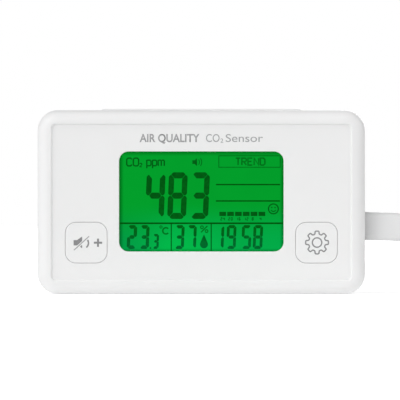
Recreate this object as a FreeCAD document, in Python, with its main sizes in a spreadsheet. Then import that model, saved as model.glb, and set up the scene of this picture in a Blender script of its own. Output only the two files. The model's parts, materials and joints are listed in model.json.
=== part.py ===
"""Desktop carbon dioxide monitor with its USB lead, as a parametric FreeCAD document.

A wide, shallow white case stands on its lower edge. The front shell has a sunken panel with a
liquid crystal display behind a clear lens, and a push button in each lower corner. The rear cover
has a raised vent bridge along its top, vents over the gas sensor, two keyholes for a wall and a
fold-out leg. A USB lead plugs into the right-hand side.

Millimetres. X runs to the right, Y runs from the front to the rear, Z runs up. The origin is the
middle of the face that the monitor stands on.
"""

import FreeCAD, Part
import math
import os
import re

import Sketcher
from FreeCAD import Placement, Rotation, Vector

# ---------------------------------------------------------------- driving dimensions

DIMENSIONS = {
    # case
    "case_width": 120.0,
    "case_height": 67.4,
    "case_depth": 25.0,
    "case_corner": 7.5,
    "wall": 2.0,
    "front_round": 4.5,
    "rear_round": 3.0,
    "parting": 0.2,
    "parting_bevel": 0.15,
    "lip_height": 1.5,
    "lip_wall": 0.8,
    "lip_gap": 0.1,
    "rim_width": 5.2,
    "rim_edge_round": 0.45,
    "recess_floor_round": 0.3,
    "recess_depth": 0.8,
    "recess_corner": 1.5,
    # screws that hold the case together
    "case_screw_inset": 7.2,
    "boss_radius": 3.2,
    "screw_pilot": 1.3,
    "screw_pilot_depth": 8.5,
    "screw_shank": 1.25,
    "screw_clearance": 1.45,
    "screw_head_radius": 2.3,
    "screw_head_height": 1.6,
    "screw_well_radius": 2.6,
    "screw_well_depth": 6.0,
    "well_bevel": 0.25,
    "case_screw_length": 12.0,
    # display window and lens
    "window_width": 60.2,
    "window_height": 36.6,
    "window_corner": 3.5,
    "opening_round": 0.25,
    "window_middle": 33.95,
    "lens_gap": 0.1,
    "lens_sink": 0.2,
    "lens_flange": 1.0,
    "lens_overlap": 1.3,
    "gasket": 0.7,
    "gasket_width": 0.9,
    # liquid crystal cell and its backlight
    "polariser": 0.2,
    "glass": 0.7,
    "glass_width": 64.4,
    "glass_height": 38.6,
    "glass_ledge": 2.2,
    "diffuser": 0.3,
    "guide": 3.0,
    "reflector": 0.2,
    "frame_wall": 1.8,
    "frame_sill": 1.05,
    "frame_fit": 0.2,
    "frame_board_gap": 0.1,
    "frame_corner": 0.8,
    "frame_peg_inset": 3.0,
    "frame_peg_across": 0.35,
    "connector_strip": 1.8,
    "backlight_lamp_width": 3.2,
    "backlight_lamp_pitch": 15.0,
    # main board
    "board": 1.6,
    "board_width": 114.4,
    "board_bottom": 11.6,
    "board_top": 56.4,
    "board_screw_across": 53.5,
    "board_screw_low": 33.5,
    "board_screw_high": 50.5,
    "board_boss_radius": 2.5,
    "board_screw_shank": 1.0,
    "board_screw_pilot": 1.05,
    "board_screw_hole": 1.2,
    "board_screw_head": 2.0,
    "board_screw_length": 6.0,
    "peg_radius": 0.9,
    "peg_hole": 1.1,
    "capacitor_across": 16.0,
    "capacitor_up": 16.0,
    "capacitor_radius": 3.15,
    "capacitor_height": 5.4,
    # push buttons
    "button_across": 42.1,
    "button_up": 18.9,
    "button_width": 15.4,
    "button_height": 15.0,
    "button_corner": 4.0,
    "button_gap": 0.1,
    "button_proud": 0.12,
    "button_edge_round": 0.25,
    "button_flange": 1.0,
    "button_overlap": 0.6,
    "button_well": 1.55,
    "button_play": 0.05,
    "button_post": 2.0,
    "switch_side": 6.0,
    "switch_height": 3.4,
    "switch_wall": 0.5,
    "plunger_radius": 1.7,
    "plunger_foot_radius": 2.2,
    "plunger_foot": 1.25,
    "plunger_rise": 1.0,
    # fold-out leg
    "leg_width": 26.0,
    "leg_thickness": 3.0,
    "leg_sink": 0.3,
    "leg_pivot": 42.0,
    "leg_tip": 5.0,
    "leg_corner": 6.0,
    "leg_heel": 2.6,
    "leg_gap": 0.35,
    "leg_trunnion": 1.1,
    "leg_trunnion_length": 1.6,
    "leg_floor_gap": 0.4,
    "leg_frame": 6.0,
    "leg_grip_length": 10.0,
    "leg_grip_pitch": 2.4,
    "leg_housing_floor": 1.8,
    "leg_housing_side": 3.4,
    # vents and keyholes in the rear cover
    "bridge_width": 73.6,
    "bridge_front": 1.6,
    "bridge_rear": 9.4,
    "bridge_rise": 0.7,
    "bridge_corner": 2.4,
    "vent_width": 2.0,
    "vent_length": 5.2,
    "vent_pitch": 5.0,
    "lower_vent_front": 2.6,
    "rear_vent_length": 24.0,
    "rear_vent_width": 1.6,
    "rear_vent_pitch": 3.4,
    "rear_vent_lift": 1.5,
    "keyhole_across": 30.0,
    "keyhole_up": 52.5,
    "keyhole_entry": 3.75,
    "keyhole_neck": 2.0,
    "keyhole_rise": 6.0,
    "sound_hole": 0.75,
    "sound_ring": 3.0,
    # blank rating label on the rear
    "label_left": 20.0,
    "label_bottom": 12.0,
    "label_width": 25.0,
    "label_height": 21.0,
    "label_corner": 1.2,
    "label_margin": 0.5,
    "label_sink": 0.25,
    "label_thickness": 0.15,
    # buzzer
    "buzzer_across": 41.0,
    "buzzer_up": 43.0,
    "buzzer_radius": 6.0,
    "buzzer_height": 5.6,
    "buzzer_wall": 0.6,
    "buzzer_hole": 1.2,
    # carbon dioxide sensor module
    "gas_left": -50.5,
    "gas_bottom": 28.5,
    "gas_board_width": 33.0,
    "gas_board_height": 20.0,
    "gas_board": 1.0,
    "gas_standoff": 1.6,
    "chamber_width": 26.0,
    "chamber_height": 14.0,
    "chamber_depth": 6.4,
    "chamber_wall": 0.6,
    # air temperature and humidity sensor
    "air_left": -44.0,
    "air_bottom": 3.0,
    "air_width": 12.0,
    "air_height": 7.4,
    "air_board": 1.0,
    "air_board_rear": 6.0,
    "air_post_inset": 1.8,
    "air_post_radius": 1.5,
    "air_peg_radius": 0.7,
    # USB socket and plug
    "usb_up": 24.95,
    "usb_shell_width": 7.8,
    "usb_shell_wall": 0.4,
    "usb_shell_height": 2.8,
    "usb_socket_depth": 5.2,
    "usb_overhang": 0.4,
    "usb_plug_width": 6.8,
    "usb_plug_height": 1.8,
    "usb_plug_wall": 0.25,
    "usb_plug_reach": 4.6,
    "grip_height": 10.4,
    "grip_depth": 7.6,
    "grip_corner": 2.2,
    "grip_length": 19.5,
    "grip_sag": 1.0,
    "grip_entry": 1.4,
    "grip_gap": 0.35,
    "boot_length": 12.0,
    "boot_radius": 2.7,
    "cable_radius": 1.75,
    "lead_end_across": 103.0,
    "lead_end_back": 31.0,
    "host_grip_width": 15.6,
    "host_grip_height": 7.8,
    "host_grip_length": 21.0,
    "host_shell_width": 12.0,
    "host_shell_height": 4.5,
    "host_shell_wall": 0.3,
    "host_shell_length": 18.6,
}

# Places worked out from the driving dimensions. The front of the case is at -Y.
PLACES = {
    "front_y": "-case_depth / 2",
    "rear_y": "case_depth / 2",
    "panel_y": "front_y + recess_depth",
    "inner_front_y": "panel_y + wall",
    "inner_rear_y": "rear_y - wall",
    "lens_back_y": "inner_front_y + lens_flange",
    "glass_front_y": "lens_back_y + gasket",
    "glass_middle_y": "glass_front_y + glass",
    "glass_back_y": "glass_middle_y + glass",
    "diffuser_y": "glass_back_y + polariser",
    "guide_y": "diffuser_y + diffuser",
    "reflector_y": "guide_y + guide",
    "board_front_y": "reflector_y + reflector + frame_board_gap",
    "frame_back_y": "board_front_y - frame_board_gap",
    "frame_peg_low": "glass_bottom + frame_peg_inset",
    "frame_peg_high": "glass_top - frame_peg_inset",
    "board_rear_y": "board_front_y + board",
    "glass_bottom": "window_middle - glass_height / 2",
    "glass_top": "window_middle + glass_height / 2",
    "screw_x": "case_width / 2 - case_screw_inset",
    "screw_low_z": "case_screw_inset",
    "screw_high_z": "case_height - case_screw_inset",
    "switch_top_y": "board_front_y - switch_height",
    "plunger_top_y": "switch_top_y - plunger_rise",
    "button_back_y": "inner_front_y + button_play + button_flange",
    "leg_outer_y": "rear_y - leg_sink",
    "leg_inner_y": "leg_outer_y - leg_thickness",
    "pivot_y": "leg_outer_y - leg_thickness / 2",
    "leg_floor_y": "leg_inner_y - leg_floor_gap",
    "leg_room_top": "leg_pivot + leg_heel + 0.7",
    "leg_room_bottom": "leg_tip - leg_gap",
    "leg_room_half": "leg_width / 2 + leg_gap",
    "gas_board_y": "board_rear_y + gas_standoff",
    "chamber_y": "gas_board_y + gas_board",
    "chamber_left": "gas_left + (gas_board_width - chamber_width) / 2",
    "chamber_bottom": "gas_bottom + (gas_board_height - chamber_height) / 2",
    "usb_y": "board_rear_y + usb_shell_height / 2",
    "socket_mouth_x": "board_width / 2 + usb_overhang",
    "grip_start_x": "case_width / 2 - grip_entry",
    "grip_end_x": "grip_start_x + grip_length",
}

WORD = re.compile(r"[A-Za-z_]+")
TOUCH = 1e-4


def link(formula):
    """The expression, on the sheet's cells, of a formula written in plain names."""

    def replace(match):
        word = match.group()
        if word in PLACES:
            return "(" + link(PLACES[word]) + ")"
        if word in DIMENSIONS:
            return "Dims." + word
        return word

    return WORD.sub(replace, str(formula))


doc = FreeCAD.newDocument("carbon_dioxide_monitor")
sheet = doc.addObject("Spreadsheet::Sheet", "Dims")
for row, (name, number) in enumerate(DIMENSIONS.items(), start=1):
    sheet.set(f"A{row}", name)
    sheet.set(f"B{row}", str(number))
    sheet.setAlias(f"B{row}", name)
doc.recompute()

finished = []


def value(formula):
    """The present value of a formula, read from the sheet."""
    result = sheet.evalExpression(link(formula))
    return float(getattr(result, "Value", result))


def bind(thing, name, formula):
    """Ties a property to a formula on the sheet."""
    thing.setExpression(name, link(formula))


def keep(thing, label):
    """Marks an object as a finished sub-part with the label that names its file."""
    thing.Label = label
    finished.append(thing)
    return thing


# ---------------------------------------------------------------- sketches and body features

PLANE_ROLE = {"x": "YZ_Plane", "y": "XZ_Plane", "z": "XY_Plane"}


def new_body(label):
    body = doc.addObject("PartDesign::Body", label)
    return keep(body, label)


def origin_feature(body, role):
    return next(item for item in body.Origin.OriginFeatures if item.Role == role)


def sketch_across(body, axis, level):
    """An empty sketch on the plane that the axis meets at this level. It sees y and z on an x
    plane, x and z on a y plane, and x and y on a z plane."""
    sketch = body.newObject("Sketcher::SketchObject", body.Name + "_sketch")
    sketch.AttachmentSupport = [(origin_feature(body, PLANE_ROLE[axis]), "")]
    sketch.MapMode = "FlatFace"
    facing = "-1" if axis == "y" else "1"
    bind(sketch, "AttachmentOffset.Base.z", f"{facing} * ({level})")
    return sketch


def hold_point(sketch, geometry, point, across, up):
    """Holds a point of the sketch at formulas measured from the origin."""
    for kind, line, formula in (("DistanceX", -2, across), ("DistanceY", -1, up)):
        if across is None and kind == "DistanceX" or up is None and kind == "DistanceY":
            continue
        number = value(formula)
        if abs(number) < TOUCH:
            sketch.addConstraint(Sketcher.Constraint("PointOnObject", geometry, point, line))
            continue
        index = sketch.addConstraint(
            Sketcher.Constraint(kind, -1, 1, geometry, point, number)
        )
        sketch.setExpression(f"Constraints[{index}]", link(formula))


def circle(sketch, across, up, radius):
    middle = Vector(value(across), value(up), 0)
    index = sketch.addGeometry(Part.Circle(middle, Vector(0, 0, 1), value(radius)), False)
    hold_point(sketch, index, 3, across, up)
    held = sketch.addConstraint(Sketcher.Constraint("Radius", index, value(radius)))
    sketch.setExpression(f"Constraints[{held}]", link(radius))


def rectangle(sketch, left, bottom, right, top, corner=None):
    """A rectangle between four formulas, with round corners if a corner radius is given."""
    low_x, low_y, high_x, high_y = (value(side) for side in (left, bottom, right, top))
    round_by = value(corner) if corner else 0
    first = sketch.GeometryCount
    runs = [
        ((low_x + round_by, low_y), (high_x - round_by, low_y)),
        ((high_x, low_y + round_by), (high_x, high_y - round_by)),
        ((high_x - round_by, high_y), (low_x + round_by, high_y)),
        ((low_x, high_y - round_by), (low_x, low_y + round_by)),
    ]
    centres = [
        (high_x - round_by, low_y + round_by),
        (high_x - round_by, high_y - round_by),
        (low_x + round_by, high_y - round_by),
        (low_x + round_by, low_y + round_by),
    ]
    step = 2 if corner else 1
    for turn, (run, centre) in enumerate(zip(runs, centres)):
        sketch.addGeometry(Part.LineSegment(Vector(*run[0], 0), Vector(*run[1], 0)), False)
        if corner:
            full = Part.Circle(Vector(*centre, 0), Vector(0, 0, 1), round_by)
            start = (turn - 1) * math.pi / 2
            sketch.addGeometry(Part.ArcOfCircle(full, start, start + math.pi / 2), False)
    pieces = 4 * step
    joint = "Tangent" if corner else "Coincident"
    for offset in range(pieces):
        here = first + offset
        after = first + (offset + 1) % pieces
        sketch.addConstraint(Sketcher.Constraint(joint, here, 2, after, 1))
    for side in range(4):
        kind = "Vertical" if side % 2 else "Horizontal"
        sketch.addConstraint(Sketcher.Constraint(kind, first + side * step))
    hold_point(sketch, first, 1, None, bottom)
    hold_point(sketch, first + step, 1, right, None)
    hold_point(sketch, first + 2 * step, 1, None, top)
    hold_point(sketch, first + 3 * step, 1, left, None)
    if corner:
        for turn in range(1, 4):
            sketch.addConstraint(Sketcher.Constraint("Equal", first + 1, first + 1 + 2 * turn))
        held = sketch.addConstraint(Sketcher.Constraint("Radius", first + 1, round_by))
        sketch.setExpression(f"Constraints[{held}]", link(corner))


def extrude(body, kind, sketch, depth, toward):
    """A Pad or a Pocket of a sketch, going the given way (1 or -1) along the plane's axis."""
    before = body.Shape.Volume if body.Tip else 0
    feature = body.newObject("PartDesign::" + kind, body.Name + "_" + kind.lower())
    feature.Profile = sketch
    bind(feature, "Length", depth)
    doc.recompute()
    normal = sketch.Placement.Rotation.multVec(Vector(0, 0, 1))
    facing = round(normal.x + normal.y + normal.z)
    natural = facing if kind == "Pad" else -facing
    feature.Reversed = toward != natural
    body.Tip = feature
    doc.recompute()
    change = body.Shape.Volume - before
    if (change if kind == "Pad" else -change) < TOUCH:
        raise RuntimeError(f"{body.Label}: {feature.Name} changed nothing")
    return feature


def pad(body, sketch, depth, toward):
    return extrude(body, "Pad", sketch, depth, toward)


def pocket(body, sketch, depth, toward):
    return extrude(body, "Pocket", sketch, depth, toward)


def edges_on(body, axis, level, test=None):
    """Names of the edges that lie in the plane that the axis meets at this level."""
    low, high = {"x": ("XMin", "XMax"), "y": ("YMin", "YMax"), "z": ("ZMin", "ZMax")}[axis]
    at = value(level)
    names = []
    for index, edge in enumerate(body.Shape.Edges, start=1):
        box = edge.BoundBox
        flat = abs(getattr(box, low) - at) < 0.01 and abs(getattr(box, high) - at) < 0.01
        if flat and (test is None or test(edge)):
            names.append(f"Edge{index}")
    return names


def soften(body, edges, size, kind="Fillet"):
    """Rounds or bevels the named edges of a body."""
    if not edges:
        raise RuntimeError(f"{body.Label}: no edges to soften")
    before = body.Tip
    feature = body.newObject("PartDesign::" + kind, body.Name + "_" + kind.lower())
    feature.Base = (before, edges)
    bind(feature, "Radius" if kind == "Fillet" else "Size", size)
    body.Tip = feature
    doc.recompute()
    return feature


def repeat(body, feature, axis_role, pitch, count):
    """Repeats a feature in a row along one of the body's own axes."""
    row = body.newObject("PartDesign::LinearPattern", body.Name + "_row")
    row.Originals = [feature]
    row.Direction = (origin_feature(body, axis_role), [""])
    bind(row, "Length", f"({pitch}) * {count - 1}")
    row.Occurrences = count
    body.Tip = row
    doc.recompute()
    return row


# ---------------------------------------------------------------- primitives


def place(thing, x, y, z):
    bind(thing, "Placement.Base.x", x)
    bind(thing, "Placement.Base.y", y)
    bind(thing, "Placement.Base.z", z)


def block(name, low, high):
    """A box between two corners, each given as three formulas."""
    box = doc.addObject("Part::Box", name)
    for side, start, end in zip(("Length", "Width", "Height"), low, high):
        bind(box, side, f"({end}) - ({start})")
    place(box, *low)
    return box


TURN_TO = {
    "x": Rotation(Vector(0, 1, 0), 90),
    "y": Rotation(Vector(1, 0, 0), -90),
    "z": Rotation(),
}


def rod(name, start, axis, length, radius):
    """A cylinder that runs from a point towards +X, +Y or +Z."""
    cylinder = doc.addObject("Part::Cylinder", name)
    cylinder.Placement = Placement(Vector(), TURN_TO[axis])
    bind(cylinder, "Radius", radius)
    bind(cylinder, "Height", length)
    place(cylinder, *start)
    return cylinder


def cut(name, base, tool):
    result = doc.addObject("Part::Cut", name)
    result.Base = base
    result.Tool = tool
    return result


def fuse(name, shapes):
    result = doc.addObject("Part::MultiFuse", name)
    result.Shapes = shapes
    result.Refine = True
    return result


def group(name, shapes):
    """Separate solids that share one node."""
    result = doc.addObject("Part::Compound", name)
    result.Links = shapes
    return result


def round_edges(name, base, radius, test):
    """Rounds the edges of an object that pass a test."""
    doc.recompute()
    result = doc.addObject("Part::Fillet", name)
    result.Base = base
    size = value(radius)
    result.Edges = [
        (index, size, size) for index, edge in enumerate(base.Shape.Edges, start=1) if test(edge)
    ]
    return result


def along(direction):
    """A test for straight edges that run along a direction."""

    def test(edge):
        if len(edge.Vertexes) < 2:
            return False
        run = edge.Vertexes[1].Point - edge.Vertexes[0].Point
        return run.Length > TOUCH and abs(run.normalize().dot(direction)) > 0.999

    return test


def round_wire(poles, radius):
    """A round solid along the smooth curve that the poles pull."""
    curve = Part.BSplineCurve()
    curve.buildFromPoles(poles)
    spine = Part.Wire([curve.toShape()])
    start = curve.tangent(curve.FirstParameter)[0]
    ring = Part.Wire([Part.makeCircle(radius, poles[0], start)])
    return spine.makePipeShell([ring], True, True)


# ---------------------------------------------------------------- case


def case_outline(sketch, inset, corner="case_corner"):
    rectangle(
        sketch,
        f"-case_width / 2 + {inset}",
        f"0 + {inset}",
        f"case_width / 2 - {inset}",
        f"case_height - {inset}",
        f"{corner} - {inset}",
    )


def at_case_screws(sketch, radius):
    for side in ("-1", "1"):
        for height in ("screw_low_z", "screw_high_z"):
            circle(sketch, f"{side} * screw_x", height, radius)


def at_board_screws(sketch, radius):
    for side in ("-1", "1"):
        for height in ("board_screw_low", "board_screw_high"):
            circle(sketch, f"{side} * board_screw_across", height, radius)


def at_frame_pegs(sketch, radius):
    for side in ("-1", "1"):
        for height in ("frame_peg_low", "frame_peg_high"):
            circle(sketch, f"{side} * (glass_width / 2 + frame_peg_across)", height, radius)


def button_outline(sketch, side, grow):
    """The outline of the left (-1) or right (1) button, grown on every side."""
    rectangle(
        sketch,
        f"{side} * button_across - button_width / 2 - ({grow})",
        f"button_up - button_height / 2 - ({grow})",
        f"{side} * button_across + button_width / 2 + ({grow})",
        f"button_up + button_height / 2 + ({grow})",
        f"button_corner + ({grow})",
    )


def window_outline(sketch, grow, corner=None):
    rectangle(
        sketch,
        f"-window_width / 2 - ({grow})",
        f"window_middle - window_height / 2 - ({grow})",
        f"window_width / 2 + ({grow})",
        f"window_middle + window_height / 2 + ({grow})",
        corner or f"window_corner + ({grow})",
    )


def cut_cable_opening(body):
    """The opening in the right-hand wall that takes the nose of the plug's grip."""
    sketch = sketch_across(body, "x", "case_width / 2 + 1")
    rectangle(
        sketch,
        "usb_y - grip_depth / 2 - grip_gap",
        "usb_up - grip_height / 2 - grip_gap",
        "usb_y + grip_depth / 2 + grip_gap",
        "usb_up + grip_height / 2 + grip_gap",
        "grip_corner + grip_gap",
    )
    pocket(body, sketch, "wall + 1.1", -1)


def inside_rim(margin):
    """A test for edges that lie inside the sunken panel's outline by a margin."""
    across = value(f"case_width / 2 - rim_width - ({margin})")
    low = value(f"rim_width + ({margin})")
    high = value(f"case_height - rim_width - ({margin})")

    def test(edge):
        box = edge.BoundBox
        return box.XMin > -across and box.XMax < across and box.ZMin > low and box.ZMax < high

    return test


def make_front_shell():
    body = new_body("front_shell")
    outline = sketch_across(body, "y", "parting")
    case_outline(outline, "0")
    pad(body, outline, "parting - front_y", -1)
    soften(body, edges_on(body, "y", "front_y"), "front_round")
    soften(body, edges_on(body, "y", "parting"), "parting_bevel", "Chamfer")

    recess = sketch_across(body, "y", "front_y")
    case_outline(recess, "rim_width", "recess_corner + rim_width")
    pocket(body, recess, "recess_depth", 1)

    soften(body, edges_on(body, "y", "front_y", inside_rim("-0.01")), "rim_edge_round")
    soften(body, edges_on(body, "y", "panel_y"), "recess_floor_round")

    cavity = sketch_across(body, "y", "parting")
    case_outline(cavity, "wall")
    pocket(body, cavity, "parting - inner_front_y", -1)
    groove = sketch_across(body, "y", "parting")
    case_outline(groove, "(wall - lip_wall - lip_gap)")
    pocket(body, groove, "lip_height + lip_gap", -1)

    openings = sketch_across(body, "y", "front_y")
    window_outline(openings, "0")
    for side in ("-1", "1"):
        button_outline(openings, side, "0")
    pocket(body, openings, "recess_depth + wall + 0.5", 1)
    soften(body, edges_on(body, "y", "panel_y", inside_rim("1")), "opening_round")

    wells = sketch_across(body, "y", "inner_front_y")
    for side in ("-1", "1"):
        button_outline(wells, side, "button_overlap + button_gap + 1.0")
        button_outline(wells, side, "button_overlap + button_gap")
    pad(body, wells, "button_well", 1)

    bosses = sketch_across(body, "y", "inner_front_y")
    at_case_screws(bosses, "boss_radius")
    pad(body, bosses, "parting - inner_front_y", 1)
    pilots = sketch_across(body, "y", "parting")
    at_case_screws(pilots, "screw_pilot")
    pocket(body, pilots, "screw_pilot_depth", -1)

    posts = sketch_across(body, "y", "inner_front_y")
    at_board_screws(posts, "board_boss_radius")
    pad(body, posts, "board_front_y - inner_front_y", 1)
    post_holes = sketch_across(body, "y", "board_front_y")
    at_board_screws(post_holes, "board_screw_pilot")
    pocket(body, post_holes, "board_screw_length - board + 0.6", -1)

    cut_cable_opening(body)
    return body


def make_rear_cover():
    body = new_body("rear_cover")
    outline = sketch_across(body, "y", "parting")
    case_outline(outline, "0")
    pad(body, outline, "rear_y - parting", 1)
    soften(body, edges_on(body, "y", "rear_y"), "rear_round")
    soften(body, edges_on(body, "y", "parting"), "parting_bevel", "Chamfer")

    bridge = sketch_across(body, "z", "case_height - 1.5")
    rectangle(
        bridge,
        "-bridge_width / 2",
        "bridge_front",
        "bridge_width / 2",
        "bridge_rear",
        "bridge_corner",
    )
    pad(body, bridge, "bridge_rise + 1.5", 1)
    soften(body, edges_on(body, "z", "case_height + bridge_rise"), "bridge_rise - 0.1")

    cavity = sketch_across(body, "y", "parting")
    case_outline(cavity, "wall")
    pocket(body, cavity, "inner_rear_y - parting", 1)

    lip = sketch_across(body, "y", "parting")
    case_outline(lip, "(wall - lip_wall)")
    case_outline(lip, "wall")
    pad(body, lip, "lip_height", -1)

    towers = sketch_across(body, "y", "parting")
    at_case_screws(towers, "boss_radius")
    pad(body, towers, "inner_rear_y - parting", 1)
    wells = sketch_across(body, "y", "rear_y")
    at_case_screws(wells, "screw_well_radius")
    pocket(body, wells, "screw_well_depth", -1)
    soften(body, edges_on(body, "y", "rear_y", around_well), "well_bevel", "Chamfer")
    clearance = sketch_across(body, "y", "rear_y")
    at_case_screws(clearance, "screw_clearance")
    pocket(body, clearance, "rear_y - parting + 0.5", -1)

    add_leg_housing(body)
    add_keyholes(body)
    add_vents(body)
    add_air_sensor_posts(body)

    label_seat = sketch_across(body, "y", "rear_y")
    label_outline(label_seat, "label_margin")
    pocket(body, label_seat, "label_sink", -1)

    cut_cable_opening(body)
    return body


def around_well(edge):
    """True for the round mouth of a screw well."""
    return abs(edge.BoundBox.XLength - 2 * value("screw_well_radius")) < 0.01


def label_outline(sketch, grow):
    """The outline of the rating label, grown on every side."""
    rectangle(
        sketch,
        f"label_left - {grow}",
        f"label_bottom - {grow}",
        f"label_left + label_width + {grow}",
        f"label_bottom + label_height + {grow}",
        f"label_corner + {grow}",
    )


def add_leg_housing(body):
    """The sunken room for the folded leg, with a blind bore in each side for a trunnion."""
    plate = sketch_across(body, "y", "inner_rear_y")
    rectangle(
        plate,
        "-leg_room_half - leg_housing_side",
        "wall / 2",
        "leg_room_half + leg_housing_side",
        "leg_room_top + 1.8",
        "2.0",
    )
    pad(body, plate, "inner_rear_y - leg_floor_y + leg_housing_floor", -1)
    room = sketch_across(body, "y", "rear_y")
    rectangle(
        room,
        "-leg_room_half",
        "leg_room_bottom",
        "leg_room_half",
        "leg_room_top",
        "0.6",
    )
    pocket(body, room, "rear_y - leg_floor_y", -1)
    bores = sketch_across(body, "x", "-leg_room_half - leg_trunnion_length")
    circle(bores, "pivot_y", "leg_pivot", "leg_trunnion + 0.05")
    pocket(body, bores, "2 * (leg_room_half + leg_trunnion_length)", 1)
    scoop = sketch_across(body, "y", "rear_y")
    rectangle(scoop, "-6", "leg_room_bottom - 1.2", "6", "leg_room_bottom + 3", "1.1")
    pocket(body, scoop, "leg_sink + leg_thickness / 2", -1)


def add_keyholes(body):
    """Two keyholes: a wide entry for a screw's head, with a neck above it for its shank."""
    entries = sketch_across(body, "y", "rear_y")
    for side in ("-1", "1"):
        circle(entries, f"{side} * keyhole_across", "keyhole_up", "keyhole_entry")
    pocket(body, entries, "wall + 0.5", -1)
    necks = sketch_across(body, "y", "rear_y")
    for side in ("-1", "1"):
        rectangle(
            necks,
            f"{side} * keyhole_across - keyhole_neck",
            "keyhole_up",
            f"{side} * keyhole_across + keyhole_neck",
            "keyhole_up + keyhole_rise + keyhole_neck",
            "keyhole_neck - 0.01",
        )
    pocket(body, necks, "wall + 0.5", -1)


def add_vents(body):
    """Rows of slots in the bridge, in the lower edge and over the gas sensor, and a ring of
    small holes over the buzzer."""
    bridge_slot = sketch_across(body, "z", "case_height + bridge_rise")
    rectangle(
        bridge_slot,
        "-6.5 * vent_pitch - vent_width / 2",
        "(bridge_front + bridge_rear - vent_length) / 2",
        "-6.5 * vent_pitch + vent_width / 2",
        "(bridge_front + bridge_rear + vent_length) / 2",
        "vent_width / 2 - 0.01",
    )
    slot = pocket(body, bridge_slot, "bridge_rise + wall + 0.3", -1)
    repeat(body, slot, "X_Axis", "vent_pitch", 14)

    lower_slot = sketch_across(body, "z", "0")
    rectangle(
        lower_slot,
        "-7.5 * vent_pitch - vent_width / 2",
        "lower_vent_front",
        "-7.5 * vent_pitch + vent_width / 2",
        "lower_vent_front + vent_length",
        "vent_width / 2 - 0.01",
    )
    slot = pocket(body, lower_slot, "wall + 0.3", 1)
    repeat(body, slot, "X_Axis", "vent_pitch", 16)

    rear_slot = sketch_across(body, "y", "rear_y")
    rectangle(
        rear_slot,
        "gas_left + (gas_board_width - rear_vent_length) / 2",
        "gas_bottom + rear_vent_lift",
        "gas_left + (gas_board_width + rear_vent_length) / 2",
        "gas_bottom + rear_vent_lift + rear_vent_width",
        "rear_vent_width / 2 - 0.01",
    )
    slot = pocket(body, rear_slot, "wall + 0.3", -1)
    repeat(body, slot, "Z_Axis", "rear_vent_pitch", 6)

    sound = sketch_across(body, "y", "rear_y")
    circle(sound, "buzzer_across", "buzzer_up", "sound_hole")
    for turn in range(6):
        angle = math.radians(60 * turn)
        circle(
            sound,
            f"buzzer_across + {math.cos(angle):.4f} * sound_ring",
            f"buzzer_up + {math.sin(angle):.4f} * sound_ring",
            "sound_hole",
        )
    pocket(body, sound, "wall + 0.3", -1)


def add_air_sensor_posts(body):
    """Two posts that carry the small air sensor board, each ending in a peg."""
    posts = sketch_across(body, "y", "inner_rear_y")
    pegs = sketch_across(body, "y", "inner_rear_y")
    for across in ("air_left + air_post_inset", "air_left + air_width - air_post_inset"):
        circle(posts, across, "air_bottom + air_height / 2", "air_post_radius")
        circle(pegs, across, "air_bottom + air_height / 2", "air_peg_radius")
    pad(body, posts, "inner_rear_y - air_board_rear", -1)
    pad(body, pegs, "inner_rear_y - air_board_rear + air_board + 0.5", -1)


# ---------------------------------------------------------------- lens, display and backlight


def make_display_lens():
    """Clear moulding: a flange behind the case wall and a raised face that fills the window."""
    body = new_body("display_lens")
    flange = sketch_across(body, "y", "lens_back_y")
    window_outline(flange, "lens_overlap")
    pad(body, flange, "lens_flange", -1)
    face = sketch_across(body, "y", "inner_front_y")
    window_outline(face, "-lens_gap")
    pad(body, face, "wall - lens_sink", -1)
    soften(body, edges_on(body, "y", "panel_y + lens_sink"), "0.15", "Chamfer")


def make_lens_gasket():
    body = new_body("lens_gasket")
    ring = sketch_across(body, "y", "lens_back_y")
    window_outline(ring, "lens_overlap - 0.1", "2.0")
    window_outline(ring, "lens_overlap - 0.1 - gasket_width", "0.4")
    pad(body, ring, "gasket", 1)


def sheet_block(label, half_width, bottom, top, near_y, thickness):
    """A flat sheet of the display stack, square to Y and centred on X."""
    low = (f"-({half_width})", near_y, bottom)
    high = (half_width, f"{near_y} + {thickness}", top)
    keep(block(label, low, high), label)


def make_display_stack():
    view_half = "window_width / 2 + 0.15"
    view_low = "window_middle - window_height / 2 - 0.1"
    view_high = "window_middle + window_height / 2 + 0.1"
    half = "glass_width / 2"
    sheet_block(
        "lcd_front_polariser", view_half, view_low, view_high, "glass_front_y - polariser", "polariser"
    )
    sheet_block(
        "lcd_front_glass", half, "glass_bottom", "glass_top + glass_ledge", "glass_front_y", "glass"
    )
    sheet_block("lcd_rear_glass", half, "glass_bottom", "glass_top", "glass_middle_y", "glass")
    sheet_block("lcd_rear_polariser", view_half, view_low, view_high, "glass_back_y", "polariser")
    guide_low = "glass_bottom + 2.0"
    guide_high = "glass_top - 1.0"
    guide_half = "glass_width / 2 - 1.6"
    sheet_block("backlight_diffuser", guide_half, guide_low, guide_high, "diffuser_y", "diffuser")
    sheet_block("light_guide", guide_half, guide_low, guide_high, "guide_y", "guide")
    sheet_block("backlight_reflector", guide_half, guide_low, guide_high, "reflector_y", "reflector")
    strip = block(
        "lcd_connector_strip",
        ("-glass_width / 2 + 3", "glass_middle_y", "glass_top + 0.2"),
        ("glass_width / 2 - 3", "board_front_y", "glass_top + 0.2 + connector_strip"),
    )
    keep(strip, "lcd_connector_strip")
    lamps = [
        block(
            f"lamp_{index}",
            (
                f"{index - 1.5} * backlight_lamp_pitch - backlight_lamp_width / 2",
                "board_front_y - 2.0",
                "glass_bottom + 0.8",
            ),
            (
                f"{index - 1.5} * backlight_lamp_pitch + backlight_lamp_width / 2",
                "board_front_y",
                "glass_bottom + 1.9",
            ),
        )
        for index in range(4)
    ]
    keep(group("backlight_leds", lamps), "backlight_leds")


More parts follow.
